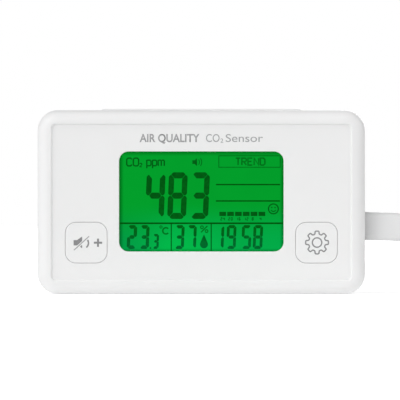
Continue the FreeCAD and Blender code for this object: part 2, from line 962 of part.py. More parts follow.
def make_display_frame():
    """White frame that holds the cell against the lens and the backlight behind the cell, with
    four pegs that pass through the main board."""
    body = new_body("display_frame")
    outer = sketch_across(body, "y", "frame_back_y")
    rectangle(
        outer,
        "-glass_width / 2 - frame_wall",
        "glass_bottom - frame_sill",
        "glass_width / 2 + frame_wall",
        "glass_top + glass_ledge + frame_sill - frame_fit",
        "frame_corner",
    )
    pad(body, outer, "frame_back_y - glass_front_y", -1)
    cell = sketch_across(body, "y", "glass_front_y")
    rectangle(
        cell,
        "-glass_width / 2 - frame_fit",
        "glass_bottom - frame_fit",
        "glass_width / 2 + frame_fit",
        "glass_top + glass_ledge + frame_fit",
    )
    pocket(body, cell, "2 * glass", 1)
    light = sketch_across(body, "y", "glass_back_y")
    rectangle(
        light,
        "-glass_width / 2 + 1.4",
        "glass_bottom + 0.65",
        "glass_width / 2 - 1.4",
        "glass_top - 0.6",
    )
    rectangle(
        light,
        "-glass_width / 2 + 2.8",
        "glass_top + 0.05",
        "glass_width / 2 - 2.8",
        "glass_top + 0.35 + connector_strip",
    )
    pocket(body, light, "board_front_y - glass_back_y", 1)
    pegs = sketch_across(body, "y", "board_front_y - 0.6")
    at_frame_pegs(pegs, "peg_radius")
    pad(body, pegs, "0.6 + board + peg_radius", 1)


# ---------------------------------------------------------------- main board and what it carries


def make_main_board():
    body = new_body("main_board")
    outline = sketch_across(body, "y", "board_rear_y")
    rectangle(
        outline, "-board_width / 2", "board_bottom", "board_width / 2", "board_top", "1.0"
    )
    pad(body, outline, "board", -1)
    holes = sketch_across(body, "y", "board_rear_y")
    at_board_screws(holes, "board_screw_hole")
    at_frame_pegs(holes, "peg_hole")
    pocket(body, holes, "board + 0.1", -1)


def make_microcontroller():
    """Flat square chip with eight leads on each side."""
    middle = (0.0, 33.0)
    half = 4.0
    parts = [
        block(
            "chip_body",
            (f"{middle[0] - half}", "board_rear_y + 0.1", f"{middle[1] - half}"),
            (f"{middle[0] + half}", "board_rear_y + 1.5", f"{middle[1] + half}"),
        )
    ]
    reach = half + 1.0
    for index in range(8):
        offset = (index - 3.5) * 0.8
        spans = [
            ((middle[0] + offset, middle[1] - reach), (middle[0] + offset, middle[1] - half + 0.2)),
            ((middle[0] + offset, middle[1] + half - 0.2), (middle[0] + offset, middle[1] + reach)),
            ((middle[0] - reach, middle[1] + offset), (middle[0] - half + 0.2, middle[1] + offset)),
            ((middle[0] + half - 0.2, middle[1] + offset), (middle[0] + reach, middle[1] + offset)),
        ]
        for number, (low, high) in enumerate(spans):
            parts.append(
                block(
                    f"chip_lead_{index}_{number}",
                    (
                        f"{low[0] - (0.18 if number < 2 else 0):.3f}",
                        "board_rear_y",
                        f"{low[1] - (0 if number < 2 else 0.18):.3f}",
                    ),
                    (
                        f"{high[0] + (0.18 if number < 2 else 0):.3f}",
                        "board_rear_y + 0.35",
                        f"{high[1] + (0 if number < 2 else 0.18):.3f}",
                    ),
                )
            )
    keep(fuse("microcontroller", parts), "microcontroller")


def make_power_parts():
    """Small parts on the rear of the board, in one node, and the power capacitor beside them.
    Each small part is given by its left side, its lower side, its width, its height up the board
    and how far it stands off the board."""
    chips = {
        "regulator": (46.5, 14.0, 4.5, 6.5, 1.6),
        "inductor": (38.5, 14.0, 5.0, 5.0, 2.4),
        "crystal": (-10.5, 36.0, 3.2, 1.5, 0.8),
        "diode": (46.0, 23.0, 2.6, 1.6, 1.1),
        "driver": (20.5, 16.0, 5.0, 4.0, 1.5),
        "socket_for_leads": (-42.0, 13.0, 8.4, 4.2, 3.2),
    }
    parts = [
        block(
            name,
            (f"{left}", "board_rear_y", f"{bottom}"),
            (f"{left + width}", f"board_rear_y + {height}", f"{bottom + tall}"),
        )
        for name, (left, bottom, width, tall, height) in chips.items()
    ]
    for index in range(6):
        left = 20.5 + 2.6 * index
        parts.append(
            block(
                f"chip_capacitor_{index}",
                (f"{left:.2f}", "board_rear_y", "24.0"),
                (f"{left + 1.2:.2f}", "board_rear_y + 0.8", "26.0"),
            )
        )
    keep(group("board_components", parts), "board_components")
    start = ("capacitor_across", "board_rear_y", "capacitor_up")
    can = rod("capacitor_can", start, "y", "capacitor_height", "capacitor_radius")
    top = value("board_rear_y + capacitor_height")
    rounded = round_edges(
        "power_capacitor", can, "0.4", lambda edge: abs(edge.BoundBox.YMin - top) < 0.01
    )
    keep(rounded, "power_capacitor")


def make_buzzer():
    """Piezo buzzer: a hollow round case with a sound hole over a thin brass disc."""
    start = ("buzzer_across", "board_rear_y", "buzzer_up")
    shell = rod("buzzer_outer", start, "y", "buzzer_height", "buzzer_radius")
    room = rod(
        "buzzer_room",
        ("buzzer_across", "board_rear_y + buzzer_wall", "buzzer_up"),
        "y",
        "buzzer_height - 2 * buzzer_wall",
        "buzzer_radius - buzzer_wall",
    )
    hole = rod("buzzer_sound_hole", start, "y", "buzzer_height + 1", "buzzer_hole")
    hole_from_room = cut("buzzer_with_room", shell, room)
    bind(hole, "Placement.Base.y", "board_rear_y + buzzer_wall")
    keep(cut("buzzer_case", hole_from_room, hole), "buzzer_case")
    disc = rod(
        "buzzer_disc",
        ("buzzer_across", "board_rear_y + buzzer_wall + 1.2", "buzzer_up"),
        "y",
        "0.3",
        "buzzer_radius - buzzer_wall - 0.05",
    )
    keep(disc, "buzzer_disc")


def make_gas_sensor():
    """Infrared carbon dioxide module: a board on pins, a plated chamber with a lamp at one end
    and a detector at the other, and a white membrane over the gas opening."""
    board = block(
        "gas_sensor_board",
        ("gas_left", "gas_board_y", "gas_bottom"),
        ("gas_left + gas_board_width", "gas_board_y + gas_board", "gas_bottom + gas_board_height"),
    )
    keep(board, "gas_sensor_board")

    chamber = new_body("gas_chamber")
    outline = sketch_across(chamber, "y", "chamber_y")
    rectangle(
        outline,
        "chamber_left",
        "chamber_bottom",
        "chamber_left + chamber_width",
        "chamber_bottom + chamber_height",
        "1.5",
    )
    pad(chamber, outline, "chamber_depth", 1)
    soften(chamber, edges_on(chamber, "y", "chamber_y + chamber_depth"), "0.6")
    room = sketch_across(chamber, "y", "chamber_y")
    rectangle(
        room,
        "chamber_left + chamber_wall",
        "chamber_bottom + chamber_wall",
        "chamber_left + chamber_width - chamber_wall",
        "chamber_bottom + chamber_height - chamber_wall",
        "0.9",
    )
    pocket(chamber, room, "chamber_depth - chamber_wall", 1)
    opening = sketch_across(chamber, "y", "chamber_y + chamber_depth")
    gas_window(opening, "0")
    pocket(chamber, opening, "chamber_wall + 0.1", -1)

    membrane = new_body("gas_membrane")
    patch = sketch_across(membrane, "y", "chamber_y + chamber_depth")
    gas_window(patch, "1.4")
    pad(membrane, patch, "0.3", 1)

    lamp = rod(
        "infrared_lamp",
        ("chamber_left + 1.2", "chamber_y + 2.9", "chamber_bottom + chamber_height / 2"),
        "x",
        "4.0",
        "1.6",
    )
    keep(lamp, "infrared_lamp")
    detector = rod(
        "infrared_detector",
        (
            "chamber_left + chamber_width - 5.2",
            "chamber_y + 2.9",
            "chamber_bottom + chamber_height / 2",
        ),
        "x",
        "4.0",
        "2.4",
    )
    keep(detector, "infrared_detector")

    pins = []
    for index in range(5):
        offset = f"{2.54 * (index - 2):.2f}"
        for end, across in (("left", "gas_left + 1.6"), ("right", "gas_left + gas_board_width - 1.6")):
            up = f"gas_bottom + gas_board_height / 2 + {offset}"
            pins.append(
                block(
                    f"pin_{end}_{index}",
                    (f"{across} - 0.3", "board_rear_y", f"{up} - 0.3"),
                    (f"{across} + 0.3", "gas_board_y", f"{up} + 0.3"),
                )
            )
    keep(group("gas_sensor_pins", pins), "gas_sensor_pins")


def gas_window(sketch, grow):
    rectangle(
        sketch,
        f"chamber_left + chamber_width / 2 - 6 - {grow}",
        f"chamber_bottom + chamber_height / 2 - 3 - {grow}",
        f"chamber_left + chamber_width / 2 + 6 + {grow}",
        f"chamber_bottom + chamber_height / 2 + 3 + {grow}",
        f"1 + {grow} * 0.5",
    )


def make_air_sensor():
    """Temperature and humidity chip on its own small board, away from the warm parts."""
    body = new_body("air_sensor_board")
    outline = sketch_across(body, "y", "air_board_rear")
    rectangle(
        outline, "air_left", "air_bottom", "air_left + air_width", "air_bottom + air_height", "0.6"
    )
    pad(body, outline, "air_board", -1)
    holes = sketch_across(body, "y", "air_board_rear")
    for across in ("air_left + air_post_inset", "air_left + air_width - air_post_inset"):
        circle(holes, across, "air_bottom + air_height / 2", "air_peg_radius + 0.1")
    pocket(body, holes, "air_board + 0.1", -1)

    middle = "air_left + air_width / 2"
    chip = block(
        "air_sensor_chip",
        (f"{middle} - 1.4", "air_board_rear - air_board - 1.0", "air_bottom + 1.2"),
        (f"{middle} + 1.4", "air_board_rear - air_board", "air_bottom + 4.0"),
    )
    eye = rod(
        "air_sensor_eye",
        (middle, "air_board_rear - air_board - 1.2", "air_bottom + 2.6"),
        "y",
        "0.5",
        "0.6",
    )
    keep(cut("air_sensor", chip, eye), "air_sensor")

    wires = []
    radius = 0.4
    for index in range(4):
        across = value("air_left + air_width / 2") + (index - 1.5) * 1.1
        top = value("air_bottom + air_height")
        front = value("air_board_rear - air_board")
        points = [
            Vector(across, front - radius, top - 1.6),
            Vector(across, front - radius, top + 0.4),
            Vector(across, front - 3.0, top + 1.4),
            Vector(across, value("board_rear_y") + 1.6, value("board_bottom") + 0.8),
            Vector(across, value("board_rear_y") + 1.6, value("board_bottom") + 1.4),
        ]
        wires.append(round_wire(points, radius))
    bundle = doc.addObject("Part::Feature", "air_sensor_wires")
    bundle.Shape = Part.makeCompound(wires)
    bundle.Placement = Placement()
    keep(bundle, "air_sensor_wires")


# ---------------------------------------------------------------- buttons and switches


def make_button(label, side):
    """Push button: a face that fills the opening, a flange behind the wall and a post."""
    body = new_body(label + "_button")
    flange = sketch_across(body, "y", "button_back_y")
    button_outline(flange, side, "button_overlap")
    pad(body, flange, "button_flange", -1)
    face = sketch_across(body, "y", "button_back_y")
    button_outline(face, side, "-button_gap")
    pad(body, face, "button_back_y - panel_y + button_proud", -1)
    soften(body, edges_on(body, "y", "panel_y - button_proud"), "button_edge_round")
    post = sketch_across(body, "y", "button_back_y")
    circle(post, f"{side} * button_across", "button_up", "button_post")
    pad(body, post, "plunger_top_y - 0.02 - button_back_y", 1)


def make_switch(label, side):
    """Tactile switch: a square housing, a metal dome in its floor and a round plunger."""
    across = f"{side} * button_across"
    outer = block(
        label + "_switch_block",
        (f"{across} - switch_side / 2", "switch_top_y", "button_up - switch_side / 2"),
        (f"{across} + switch_side / 2", "board_front_y", "button_up + switch_side / 2"),
    )
    room = rod(
        label + "_switch_room",
        (across, "switch_top_y + switch_wall", "button_up"),
        "y",
        "switch_height - 2 * switch_wall",
        "plunger_foot_radius + 0.15",
    )
    throat = rod(
        label + "_switch_throat",
        (across, "switch_top_y - 0.1", "button_up"),
        "y",
        "switch_wall + 0.2",
        "plunger_radius + 0.08",
    )
    hollow = fuse(label + "_switch_hollow", [room, throat])
    keep(cut(label + "_switch_housing", outer, hollow), label + "_switch_housing")

    stem = rod(
        label + "_plunger_stem",
        (across, "plunger_top_y", "button_up"),
        "y",
        "plunger_rise + switch_wall + 0.1",
        "plunger_radius",
    )
    foot = rod(
        label + "_plunger_foot",
        (across, "switch_top_y + switch_wall + 0.05", "button_up"),
        "y",
        "plunger_foot",
        "plunger_foot_radius",
    )
    keep(fuse(label + "_switch_plunger", [stem, foot]), label + "_switch_plunger")

    dome = doc.addObject("Part::Feature", label + "_switch_dome")
    rise, span, gauge = 0.7, value("plunger_foot_radius"), 0.08
    sphere_radius = (span**2 + rise**2) / (2 * rise)
    top = value("board_front_y - switch_wall") - rise
    centre = Vector(value(across), top + sphere_radius, value("button_up"))
    ball = Part.makeSphere(sphere_radius, centre).cut(
        Part.makeSphere(sphere_radius - gauge, centre)
    )
    clip = Part.makeCylinder(span, rise, Vector(centre.x, top, centre.z), Vector(0, 1, 0))
    dome.Shape = ball.common(clip)
    dome.Placement = Placement()
    keep(dome, label + "_switch_dome")


# ---------------------------------------------------------------- fold-out leg


def make_leg():
    """Leg that folds flat into the rear cover. Its heel meets the floor of the room when it is
    open, and its trunnions snap into the cover's bores."""
    body = new_body("fold_out_leg")
    plate = sketch_across(body, "x", "-leg_width / 2")
    rectangle(plate, "leg_inner_y", "leg_tip", "leg_outer_y", "leg_pivot")
    pad(body, plate, "leg_width", 1)
    heel = sketch_across(body, "x", "-leg_width / 2")
    rectangle(heel, "pivot_y", "leg_pivot - 1", "leg_outer_y", "leg_pivot + leg_heel")
    pad(body, heel, "leg_width", 1)
    knuckle = sketch_across(body, "x", "-leg_width / 2")
    circle(knuckle, "pivot_y", "leg_pivot", "leg_thickness / 2")
    pad(body, knuckle, "leg_width", 1)
    trunnions = sketch_across(body, "x", "-leg_width / 2 - leg_trunnion_length")
    circle(trunnions, "pivot_y", "leg_pivot", "leg_trunnion")
    pad(body, trunnions, "leg_width + 2 * leg_trunnion_length", 1)

    def across_tip(edge):
        box = edge.BoundBox
        return box.YLength > value("leg_thickness") - 0.01 and abs(box.Center.x) > 1

    soften(body, edges_on(body, "z", "leg_tip", across_tip), "leg_corner")
    window = sketch_across(body, "y", "leg_outer_y")
    rectangle(
        window,
        "-leg_width / 2 + leg_frame",
        "leg_tip + 2 * leg_frame + 1",
        "leg_width / 2 - leg_frame",
        "leg_pivot - leg_frame - 1",
        "leg_frame / 2",
    )
    pocket(body, window, "leg_thickness + 0.1", -1)
    grip = sketch_across(body, "y", "leg_outer_y")
    for index in range(3):
        rectangle(
            grip,
            "-leg_grip_length / 2",
            f"leg_tip + 3 + {index} * leg_grip_pitch",
            "leg_grip_length / 2",
            f"leg_tip + 4 + {index} * leg_grip_pitch",
            "0.4",
        )
    pocket(body, grip, "0.5", -1)


# ---------------------------------------------------------------- screws


def screw_shape(shank, length, head, head_height, at):
    """A cross-head screw that points towards -Y, with its head's underside at the given point."""
    body = Part.makeCylinder(shank, length - 1.0, at, Vector(0, -1, 0))
    tip = Part.makeCone(
        shank, shank * 0.4, 1.0, at + Vector(0, 1.0 - length, 0), Vector(0, -1, 0)
    )
    cap = Part.makeCylinder(head, head_height, at, Vector(0, 1, 0))
    rim = [edge for edge in cap.Edges if abs(edge.BoundBox.YMin - at.y - head_height) < 0.01]
    cap = cap.makeFillet(head_height * 0.45, [edge for edge in rim if edge.BoundBox.YLength < 0.01])
    solid = cap.fuse([body, tip])
    for wide, tall in ((head * 1.1, head * 0.3), (head * 0.3, head * 1.1)):
        corner = at + Vector(-wide / 2, head_height * 0.4, -tall / 2)
        solid = solid.cut(Part.makeBox(wide, head_height, tall, corner))
    return solid.removeSplitter()


def make_screws():
    case = doc.addObject("Part::Feature", "case_screws")
    under_head = value("rear_y - screw_well_depth")
    case.Shape = Part.makeCompound(
        [
            screw_shape(
                value("screw_shank"),
                value("case_screw_length"),
                value("screw_head_radius"),
                value("screw_head_height"),
                Vector(side * value("screw_x"), under_head, value(height)),
            )
            for side in (-1, 1)
            for height in ("screw_low_z", "screw_high_z")
        ]
    )
    case.Placement = Placement()
    keep(case, "case_screws")

    board = doc.addObject("Part::Feature", "board_screws")
    board.Shape = Part.makeCompound(
        [
            screw_shape(
                value("board_screw_shank"),
                value("board_screw_length"),
                value("board_screw_head"),
                1.3,
                Vector(side * value("board_screw_across"), value("board_rear_y"), value(height)),
            )
            for side in (-1, 1)
            for height in ("board_screw_low", "board_screw_high")
        ]
    )
    board.Placement = Placement()
    keep(board, "board_screws")


def make_rating_label():
    body = new_body("rating_label")
    outline = sketch_across(body, "y", "rear_y - label_sink")
    label_outline(outline, "0")
    pad(body, outline, "label_thickness", 1)


# ---------------------------------------------------------------- USB socket and lead


def tube(name, low, high, thickness):
    """A square tube along X between two corners."""
    outer = block(name + "_outer", low, high)
    inner_low = (f"{low[0]} - 1", f"{low[1]} + {thickness}", f"{low[2]} + {thickness}")
    inner_high = (f"{high[0]} + 1", f"{high[1]} - {thickness}", f"{high[2]} - {thickness}")
    return cut(name, outer, block(name + "_inner", inner_low, inner_high))


def make_usb_socket():
    rear_x = "socket_mouth_x - usb_socket_depth"
    half = "usb_shell_width / 2"
    shell = tube(
        "usb_socket_shell",
        (rear_x, "board_rear_y", f"usb_up - {half}"),
        ("socket_mouth_x", "board_rear_y + usb_shell_height", f"usb_up + {half}"),
        "usb_shell_wall",
    )
    keep(shell, "usb_socket_shell")
    back = block(
        "usb_insert_back",
        (rear_x, "board_rear_y + usb_shell_wall", f"usb_up - {half} + usb_shell_wall"),
        (
            f"{rear_x} + 0.9",
            "board_rear_y + usb_shell_height - usb_shell_wall",
            f"usb_up + {half} - usb_shell_wall",
        ),
    )
    tongue = block(
        "usb_insert_tongue",
        (rear_x, "usb_y - 0.3", "usb_up - 1.9"),
        ("socket_mouth_x - 0.6", "usb_y + 0.25", "usb_up + 1.9"),
    )
    keep(fuse("usb_socket_insert", [back, tongue]), "usb_socket_insert")


def make_device_plug():
    """The small plug in the side of the case: metal shell, insert and soft grip."""
    tip_x = "grip_start_x - usb_plug_reach"
    half_width = "usb_plug_width / 2"
    half_height = "usb_plug_height / 2"
    shell = tube(
        "plug_shell_body",
        (tip_x, f"usb_y - {half_height}", f"usb_up - {half_width}"),
        ("grip_start_x", f"usb_y + {half_height}", f"usb_up + {half_width}"),
        "usb_plug_wall",
    )
    rounded = round_edges("plug_shell", shell, "0.2", along(Vector(1, 0, 0)))
    keep(rounded, "usb_plug_shell")
    insert = block(
        "usb_plug_insert",
        (f"{tip_x} + 0.3", "usb_y + 0.36", f"usb_up - {half_width} + 0.45"),
        ("grip_start_x", f"usb_y + {half_height} - usb_plug_wall", f"usb_up + {half_width} - 0.45"),
    )
    keep(insert, "usb_plug_insert")

    grip = new_body("usb_plug_grip")
    stations = (
        ("0", "0", "0"),
        ("0.6", "0.3", "0"),
        ("0.9", "0.75", "0"),
        ("0.96", "0.9", "0.4"),
        ("1", "1", "1.1"),
    )
    sections = [grip_section(grip, reach, sag, shrink) for reach, sag, shrink in stations]
    for near, far in zip(sections, sections[1:]):
        join_sections(grip, near, far)


def grip_section(body, reach, sag, shrink):
    """The outline of the plug's grip at a share of its length, sunk by a share of its sag and
    drawn in on every side by a shrink in millimetres."""
    section = sketch_across(body, "x", f"grip_start_x + grip_length * {reach}")
    middle = f"(usb_up - grip_sag * {sag})"
    rectangle(
        section,
        f"usb_y - grip_depth / 2 + {shrink}",
        f"{middle} - grip_height / 2 + {shrink}",
        f"usb_y + grip_depth / 2 - {shrink}",
        f"{middle} + grip_height / 2 - {shrink}",
        f"grip_corner - {shrink} * 0.5",
    )
    return section


def join_sections(body, near, far):
    """A loft from one section to the next."""
    doc.recompute()
    loft = body.newObject("PartDesign::AdditiveLoft", body.Name + "_loft")
    loft.Profile = near
    loft.Sections = [far]
    body.Tip = loft
    doc.recompute()


def make_strain_relief(start, forward):
    """A ribbed boot that tapers from the grip to the cable."""
    length = value("boot_length")
    wide = value("boot_radius")
    thin = value("cable_radius") + 0.45
    lead_in = 0.6
    boot = Part.makeCone(wide, thin, length + lead_in, start - forward * lead_in, forward)
    ribs = 5
    for index in range(ribs):
        share = (index + 0.5) / ribs
        near = start + forward * (length * share)
        girth = wide + (thin - wide) * share + 0.35
        boot = boot.fuse(Part.makeCylinder(girth, 1.1, near, forward))
    behind = Part.makeBox(10, 20, 20, start + Vector(-10, -10, -10))
    relief = doc.addObject("Part::Feature", "strain_relief")
    relief.Shape = boot.cut(behind).removeSplitter()
    relief.Placement = Placement()
    keep(relief, "strain_relief")


def make_lead():
    """Strain relief, round cable that falls to the table, and the plug at its far end."""
    start = Vector(value("grip_end_x"), value("usb_y"), value("usb_up - grip_sag"))
    forward = Vector(1, 0, -0.17).normalize()
    make_strain_relief(start, forward)
    end = start + forward * value("boot_length")

    across = value("lead_end_across")
    back = value("lead_end_back")
    plug_up = value("host_grip_height / 2")
    # The cable leaves the relief straight, falls to the table and turns back to the large plug.
    poles = [
        end,
        end + forward * 9,
        Vector(across + 5, 3.0, 15.0),
        Vector(across + 7, 10.0, 4.0),
        Vector(across + 1, 18.0, plug_up - 1.0),
        Vector(across, back - 6, plug_up),
        Vector(across, back, plug_up),
    ]
    cable = doc.addObject("Part::Feature", "usb_cable")
    cable.Shape = round_wire(poles, value("cable_radius"))
    cable.Placement = Placement()
    keep(cable, "usb_cable")
    make_host_plug()


def make_host_plug():
    """The large flat plug at the far end of the lead, lying on the table."""
    grip = new_body("host_plug_grip")
    outline = sketch_across(grip, "y", "lead_end_back + host_grip_length")
    rectangle(
        outline,
        "lead_end_across - host_grip_width / 2",
        "0",
        "lead_end_across + host_grip_width / 2",
        "host_grip_height",
        "2.2",
    )
    pad(grip, outline, "host_grip_length", -1)
    soften(grip, edges_on(grip, "y", "lead_end_back"), "1.8")

    far = "lead_end_back + host_grip_length"
    low_z = "host_grip_height / 2 - host_shell_height / 2"
    shell_outer = block(
        "host_shell_outer",
        ("lead_end_across - host_shell_width / 2", far, low_z),
        (
            "lead_end_across + host_shell_width / 2",
            f"{far} + host_shell_length",
            f"{low_z} + host_shell_height",
        ),
    )
    shell_inner = block(
        "host_shell_inner",
        (
            "lead_end_across - host_shell_width / 2 + host_shell_wall",
            f"{far} - 1",
            f"{low_z} + host_shell_wall",
        ),
        (
            "lead_end_across + host_shell_width / 2 - host_shell_wall",
            f"{far} + host_shell_length + 1",
            f"{low_z} + host_shell_height - host_shell_wall",
        ),
    )
    shell = cut("host_shell_tube", shell_outer, shell_inner)
    for index, side in enumerate(("-1", "1")):
        window = block(
            f"host_shell_window_{index}",
            (f"lead_end_across + {side} * 2.85 - 1.25", f"{far} + 7.6", f"{low_z} - 1"),
            (
                f"lead_end_across + {side} * 2.85 + 1.25",
                f"{far} + 10.1",
                f"{low_z} + host_shell_height + 1",
            ),
        )
        shell = cut(f"host_shell_cut_{index}", shell, window)
    keep(shell, "host_plug_shell")
    tongue = block(
        "host_plug_insert",
        (
            "lead_end_across - host_shell_width / 2 + host_shell_wall",
            far,
            f"{low_z} + host_shell_wall",
        ),
        (
            "lead_end_across + host_shell_width / 2 - host_shell_wall",
            f"{far} + host_shell_length - 0.5",
            f"{low_z} + host_shell_wall + 1.9",
        ),
    )
    keep(tongue, "host_plug_insert")
    contacts = [
        block(
            f"host_contact_{index}",
            (
                f"lead_end_across + {position} - 0.5",
                f"{far} + 9.0",
                f"{low_z} + host_shell_wall + 1.9",
            ),
            (
                f"lead_end_across + {position} + 0.5",
                f"{far} + host_shell_length - 1.0",
                f"{low_z} + host_shell_wall + 2.05",
            ),
        )
        for index, position in enumerate((-3.5, -1.0, 1.0, 3.5))
    ]
    keep(group("host_plug_contacts", contacts), "host_plug_contacts")


# ---------------------------------------------------------------- build, check and write


def check_and_write():
    """Stops on any failed object or bad shape, then writes one STEP file for each sub-part."""
    doc.recompute()
    for thing in doc.Objects:
        if {"Invalid", "Error"} & set(thing.State):
            raise RuntimeError(f"{thing.Name} failed: {thing.State}")
    os.makedirs("parts", exist_ok=True)
    for old in os.listdir("parts"):
        if old.endswith(".step"):
            os.remove(os.path.join("parts", old))
    for thing in finished:
        shape = thing.Shape
        if shape.isNull() or not shape.isValid() or not shape.Solids:
            raise RuntimeError(f"{thing.Label} has a bad shape")
        shape.exportStep(os.path.join("parts", thing.Label + ".step"))
    print(len(finished), "sub-parts written")


make_front_shell()
make_rear_cover()
make_display_lens()
make_lens_gasket()
make_display_stack()
make_display_frame()
make_main_board()
make_microcontroller()
make_power_parts()
make_buzzer()
make_gas_sensor()
make_air_sensor()
for button, hand in (("mute", "-1"), ("settings", "1")):
    make_button(button, hand)
    make_switch(button, hand)
make_leg()
make_screws()
make_rating_label()
make_usb_socket()
make_device_plug()
make_lead()
check_and_write()
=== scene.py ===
import json
import math

import bmesh
import bpy
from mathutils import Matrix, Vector


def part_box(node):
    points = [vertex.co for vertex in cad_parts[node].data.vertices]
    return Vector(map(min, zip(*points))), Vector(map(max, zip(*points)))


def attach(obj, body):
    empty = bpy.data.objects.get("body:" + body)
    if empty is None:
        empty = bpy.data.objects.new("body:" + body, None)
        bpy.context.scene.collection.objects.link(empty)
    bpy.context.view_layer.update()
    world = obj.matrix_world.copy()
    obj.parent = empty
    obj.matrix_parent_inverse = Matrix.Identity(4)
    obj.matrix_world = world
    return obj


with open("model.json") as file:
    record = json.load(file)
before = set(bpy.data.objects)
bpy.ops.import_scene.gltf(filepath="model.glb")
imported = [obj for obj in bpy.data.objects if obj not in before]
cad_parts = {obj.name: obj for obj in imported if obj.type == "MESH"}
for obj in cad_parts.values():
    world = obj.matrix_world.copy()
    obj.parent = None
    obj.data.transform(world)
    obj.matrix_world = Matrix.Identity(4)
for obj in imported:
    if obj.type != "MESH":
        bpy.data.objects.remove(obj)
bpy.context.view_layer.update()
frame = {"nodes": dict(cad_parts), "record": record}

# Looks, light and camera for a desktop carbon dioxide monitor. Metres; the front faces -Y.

MM = 0.001

lens_low, lens_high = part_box("display_lens")
film_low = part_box("lcd_front_polariser")[0]
shell_low, shell_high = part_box("front_shell")
WINDOW_WIDTH = 60.2 * MM
WINDOW_HEIGHT = 36.6 * MM
LENS_SINK = 0.2 * MM
PRINT_DEPTH = 0.03 * MM
screen_left = (lens_low.x + lens_high.x) / 2 - WINDOW_WIDTH / 2
screen_bottom = (lens_low.z + lens_high.z) / 2 - WINDOW_HEIGHT / 2
panel_y = lens_low.y - LENS_SINK

# ---------------------------------------------------------------- shader nodes


def new_material(name):
    material = bpy.data.materials.new(name)
    material.use_nodes = True
    tree = material.node_tree
    tree.nodes.clear()
    return material, tree


def feed(tree, socket, value):
    """Links an input to another node's output, or sets it to a plain value."""
    if isinstance(value, bpy.types.NodeSocket):
        tree.links.new(value, socket)
    else:
        socket.default_value = value


def add(tree, kind, settings=None, **inputs):
    """Adds a shader node. Inputs are named with underscores for spaces, and may be sockets."""
    made = tree.nodes.new("ShaderNode" + kind)
    for name, setting in (settings or {}).items():
        setattr(made, name, setting)
    for name, value in inputs.items():
        feed(tree, made.inputs[name.replace("_", " ")], value)
    return made


def maths(tree, operation, first, second=0.0):
    made = add(tree, "Math", {"operation": operation})
    feed(tree, made.inputs[0], first)
    feed(tree, made.inputs[1], second)
    return made.outputs[0]


def between(tree, value, low, high, start=0.0, end=1.0):
    """Maps a value from one range to another, smoothly, and clamps it."""
    made = add(tree, "MapRange", {"interpolation_type": "SMOOTHSTEP"}, Value=value)
    for name, number in (("From Min", low), ("From Max", high), ("To Min", start), ("To Max", end)):
        made.inputs[name].default_value = number
    return made.outputs[0]


def mix_colour(tree, share, first, second):
    """Mixes two colours, given as sockets or as red, green and blue."""
    made = add(tree, "Mix", {"data_type": "RGBA"})
    feed(tree, made.inputs[0], share)
    for socket, colour in ((made.inputs[6], first), (made.inputs[7], second)):
        plain = isinstance(colour, tuple)
        feed(tree, socket, (*colour, 1) if plain else colour)
    return made.outputs[2]


def mix_shaders(tree, share, first, second):
    made = add(tree, "MixShader", Fac=share)
    tree.links.new(first.outputs[0], made.inputs[1])
    tree.links.new(second.outputs[0], made.inputs[2])
    return made


def place_of(tree):
    return add(tree, "TexCoord").outputs["Object"]


def noise(tree, scale, detail, stretch=None):
    """Noise over the object's own space. A stretch draws it out along some axes."""
    where = place_of(tree)
    if stretch:
        where = add(tree, "Mapping", Vector=where, Scale=stretch).outputs[0]
    return add(tree, "TexNoise", Vector=where, Scale=scale, Detail=detail).outputs["Fac"]


def bump(tree, height, distance, strength=1.0):
    return add(tree, "Bump", Height=height, Distance=distance, Strength=strength).outputs[0]


def end_with(tree, shader, output="OutputMaterial"):
    """Joins a shader to the output of its material, or of the world."""
    add(tree, output, Surface=shader.outputs[0])


def surfaced(material, **settings):
    """Ends a material with one principled shader, and gives the material back."""
    tree = material.node_tree
    end_with(tree, add(tree, "BsdfPrincipled", **settings))
    return material


def part_of_place(tree, axis):
    return add(tree, "SeparateXYZ", Vector=place_of(tree)).outputs[axis]


def distance_from(tree, value, middle):
    return maths(tree, "ABSOLUTE", maths(tree, "SUBTRACT", value, middle))


def share_along(tree, value, start, length):
    """How far a value lies along a stretch: 0 at its start and 1 at its end."""
    return maths(tree, "DIVIDE", maths(tree, "SUBTRACT", value, start), length)


def product(tree, first, *others):
    for other in others:
        first = maths(tree, "MULTIPLY", first, other)
    return first


def scaled_and_raised(tree, value, factor, base):
    return maths(tree, "ADD", maths(tree, "MULTIPLY", value, factor), base)


def shade(colour, factor):
    return tuple(channel * factor for channel in colour)


def edge_share(tree, radius):
    """Near 1 on a convex or concave edge and 0 on a flat."""
    softened = add(tree, "Bevel", {"samples": 6}, Radius=radius).outputs[0]
    plain = add(tree, "NewGeometry").outputs["Normal"]
    dot = add(tree, "VectorMath", {"operation": "DOT_PRODUCT"})
    tree.links.new(softened, dot.inputs[0])
    tree.links.new(plain, dot.inputs[1])
    return between(tree, dot.outputs["Value"], 0.995, 0.8)


# ---------------------------------------------------------------- materials


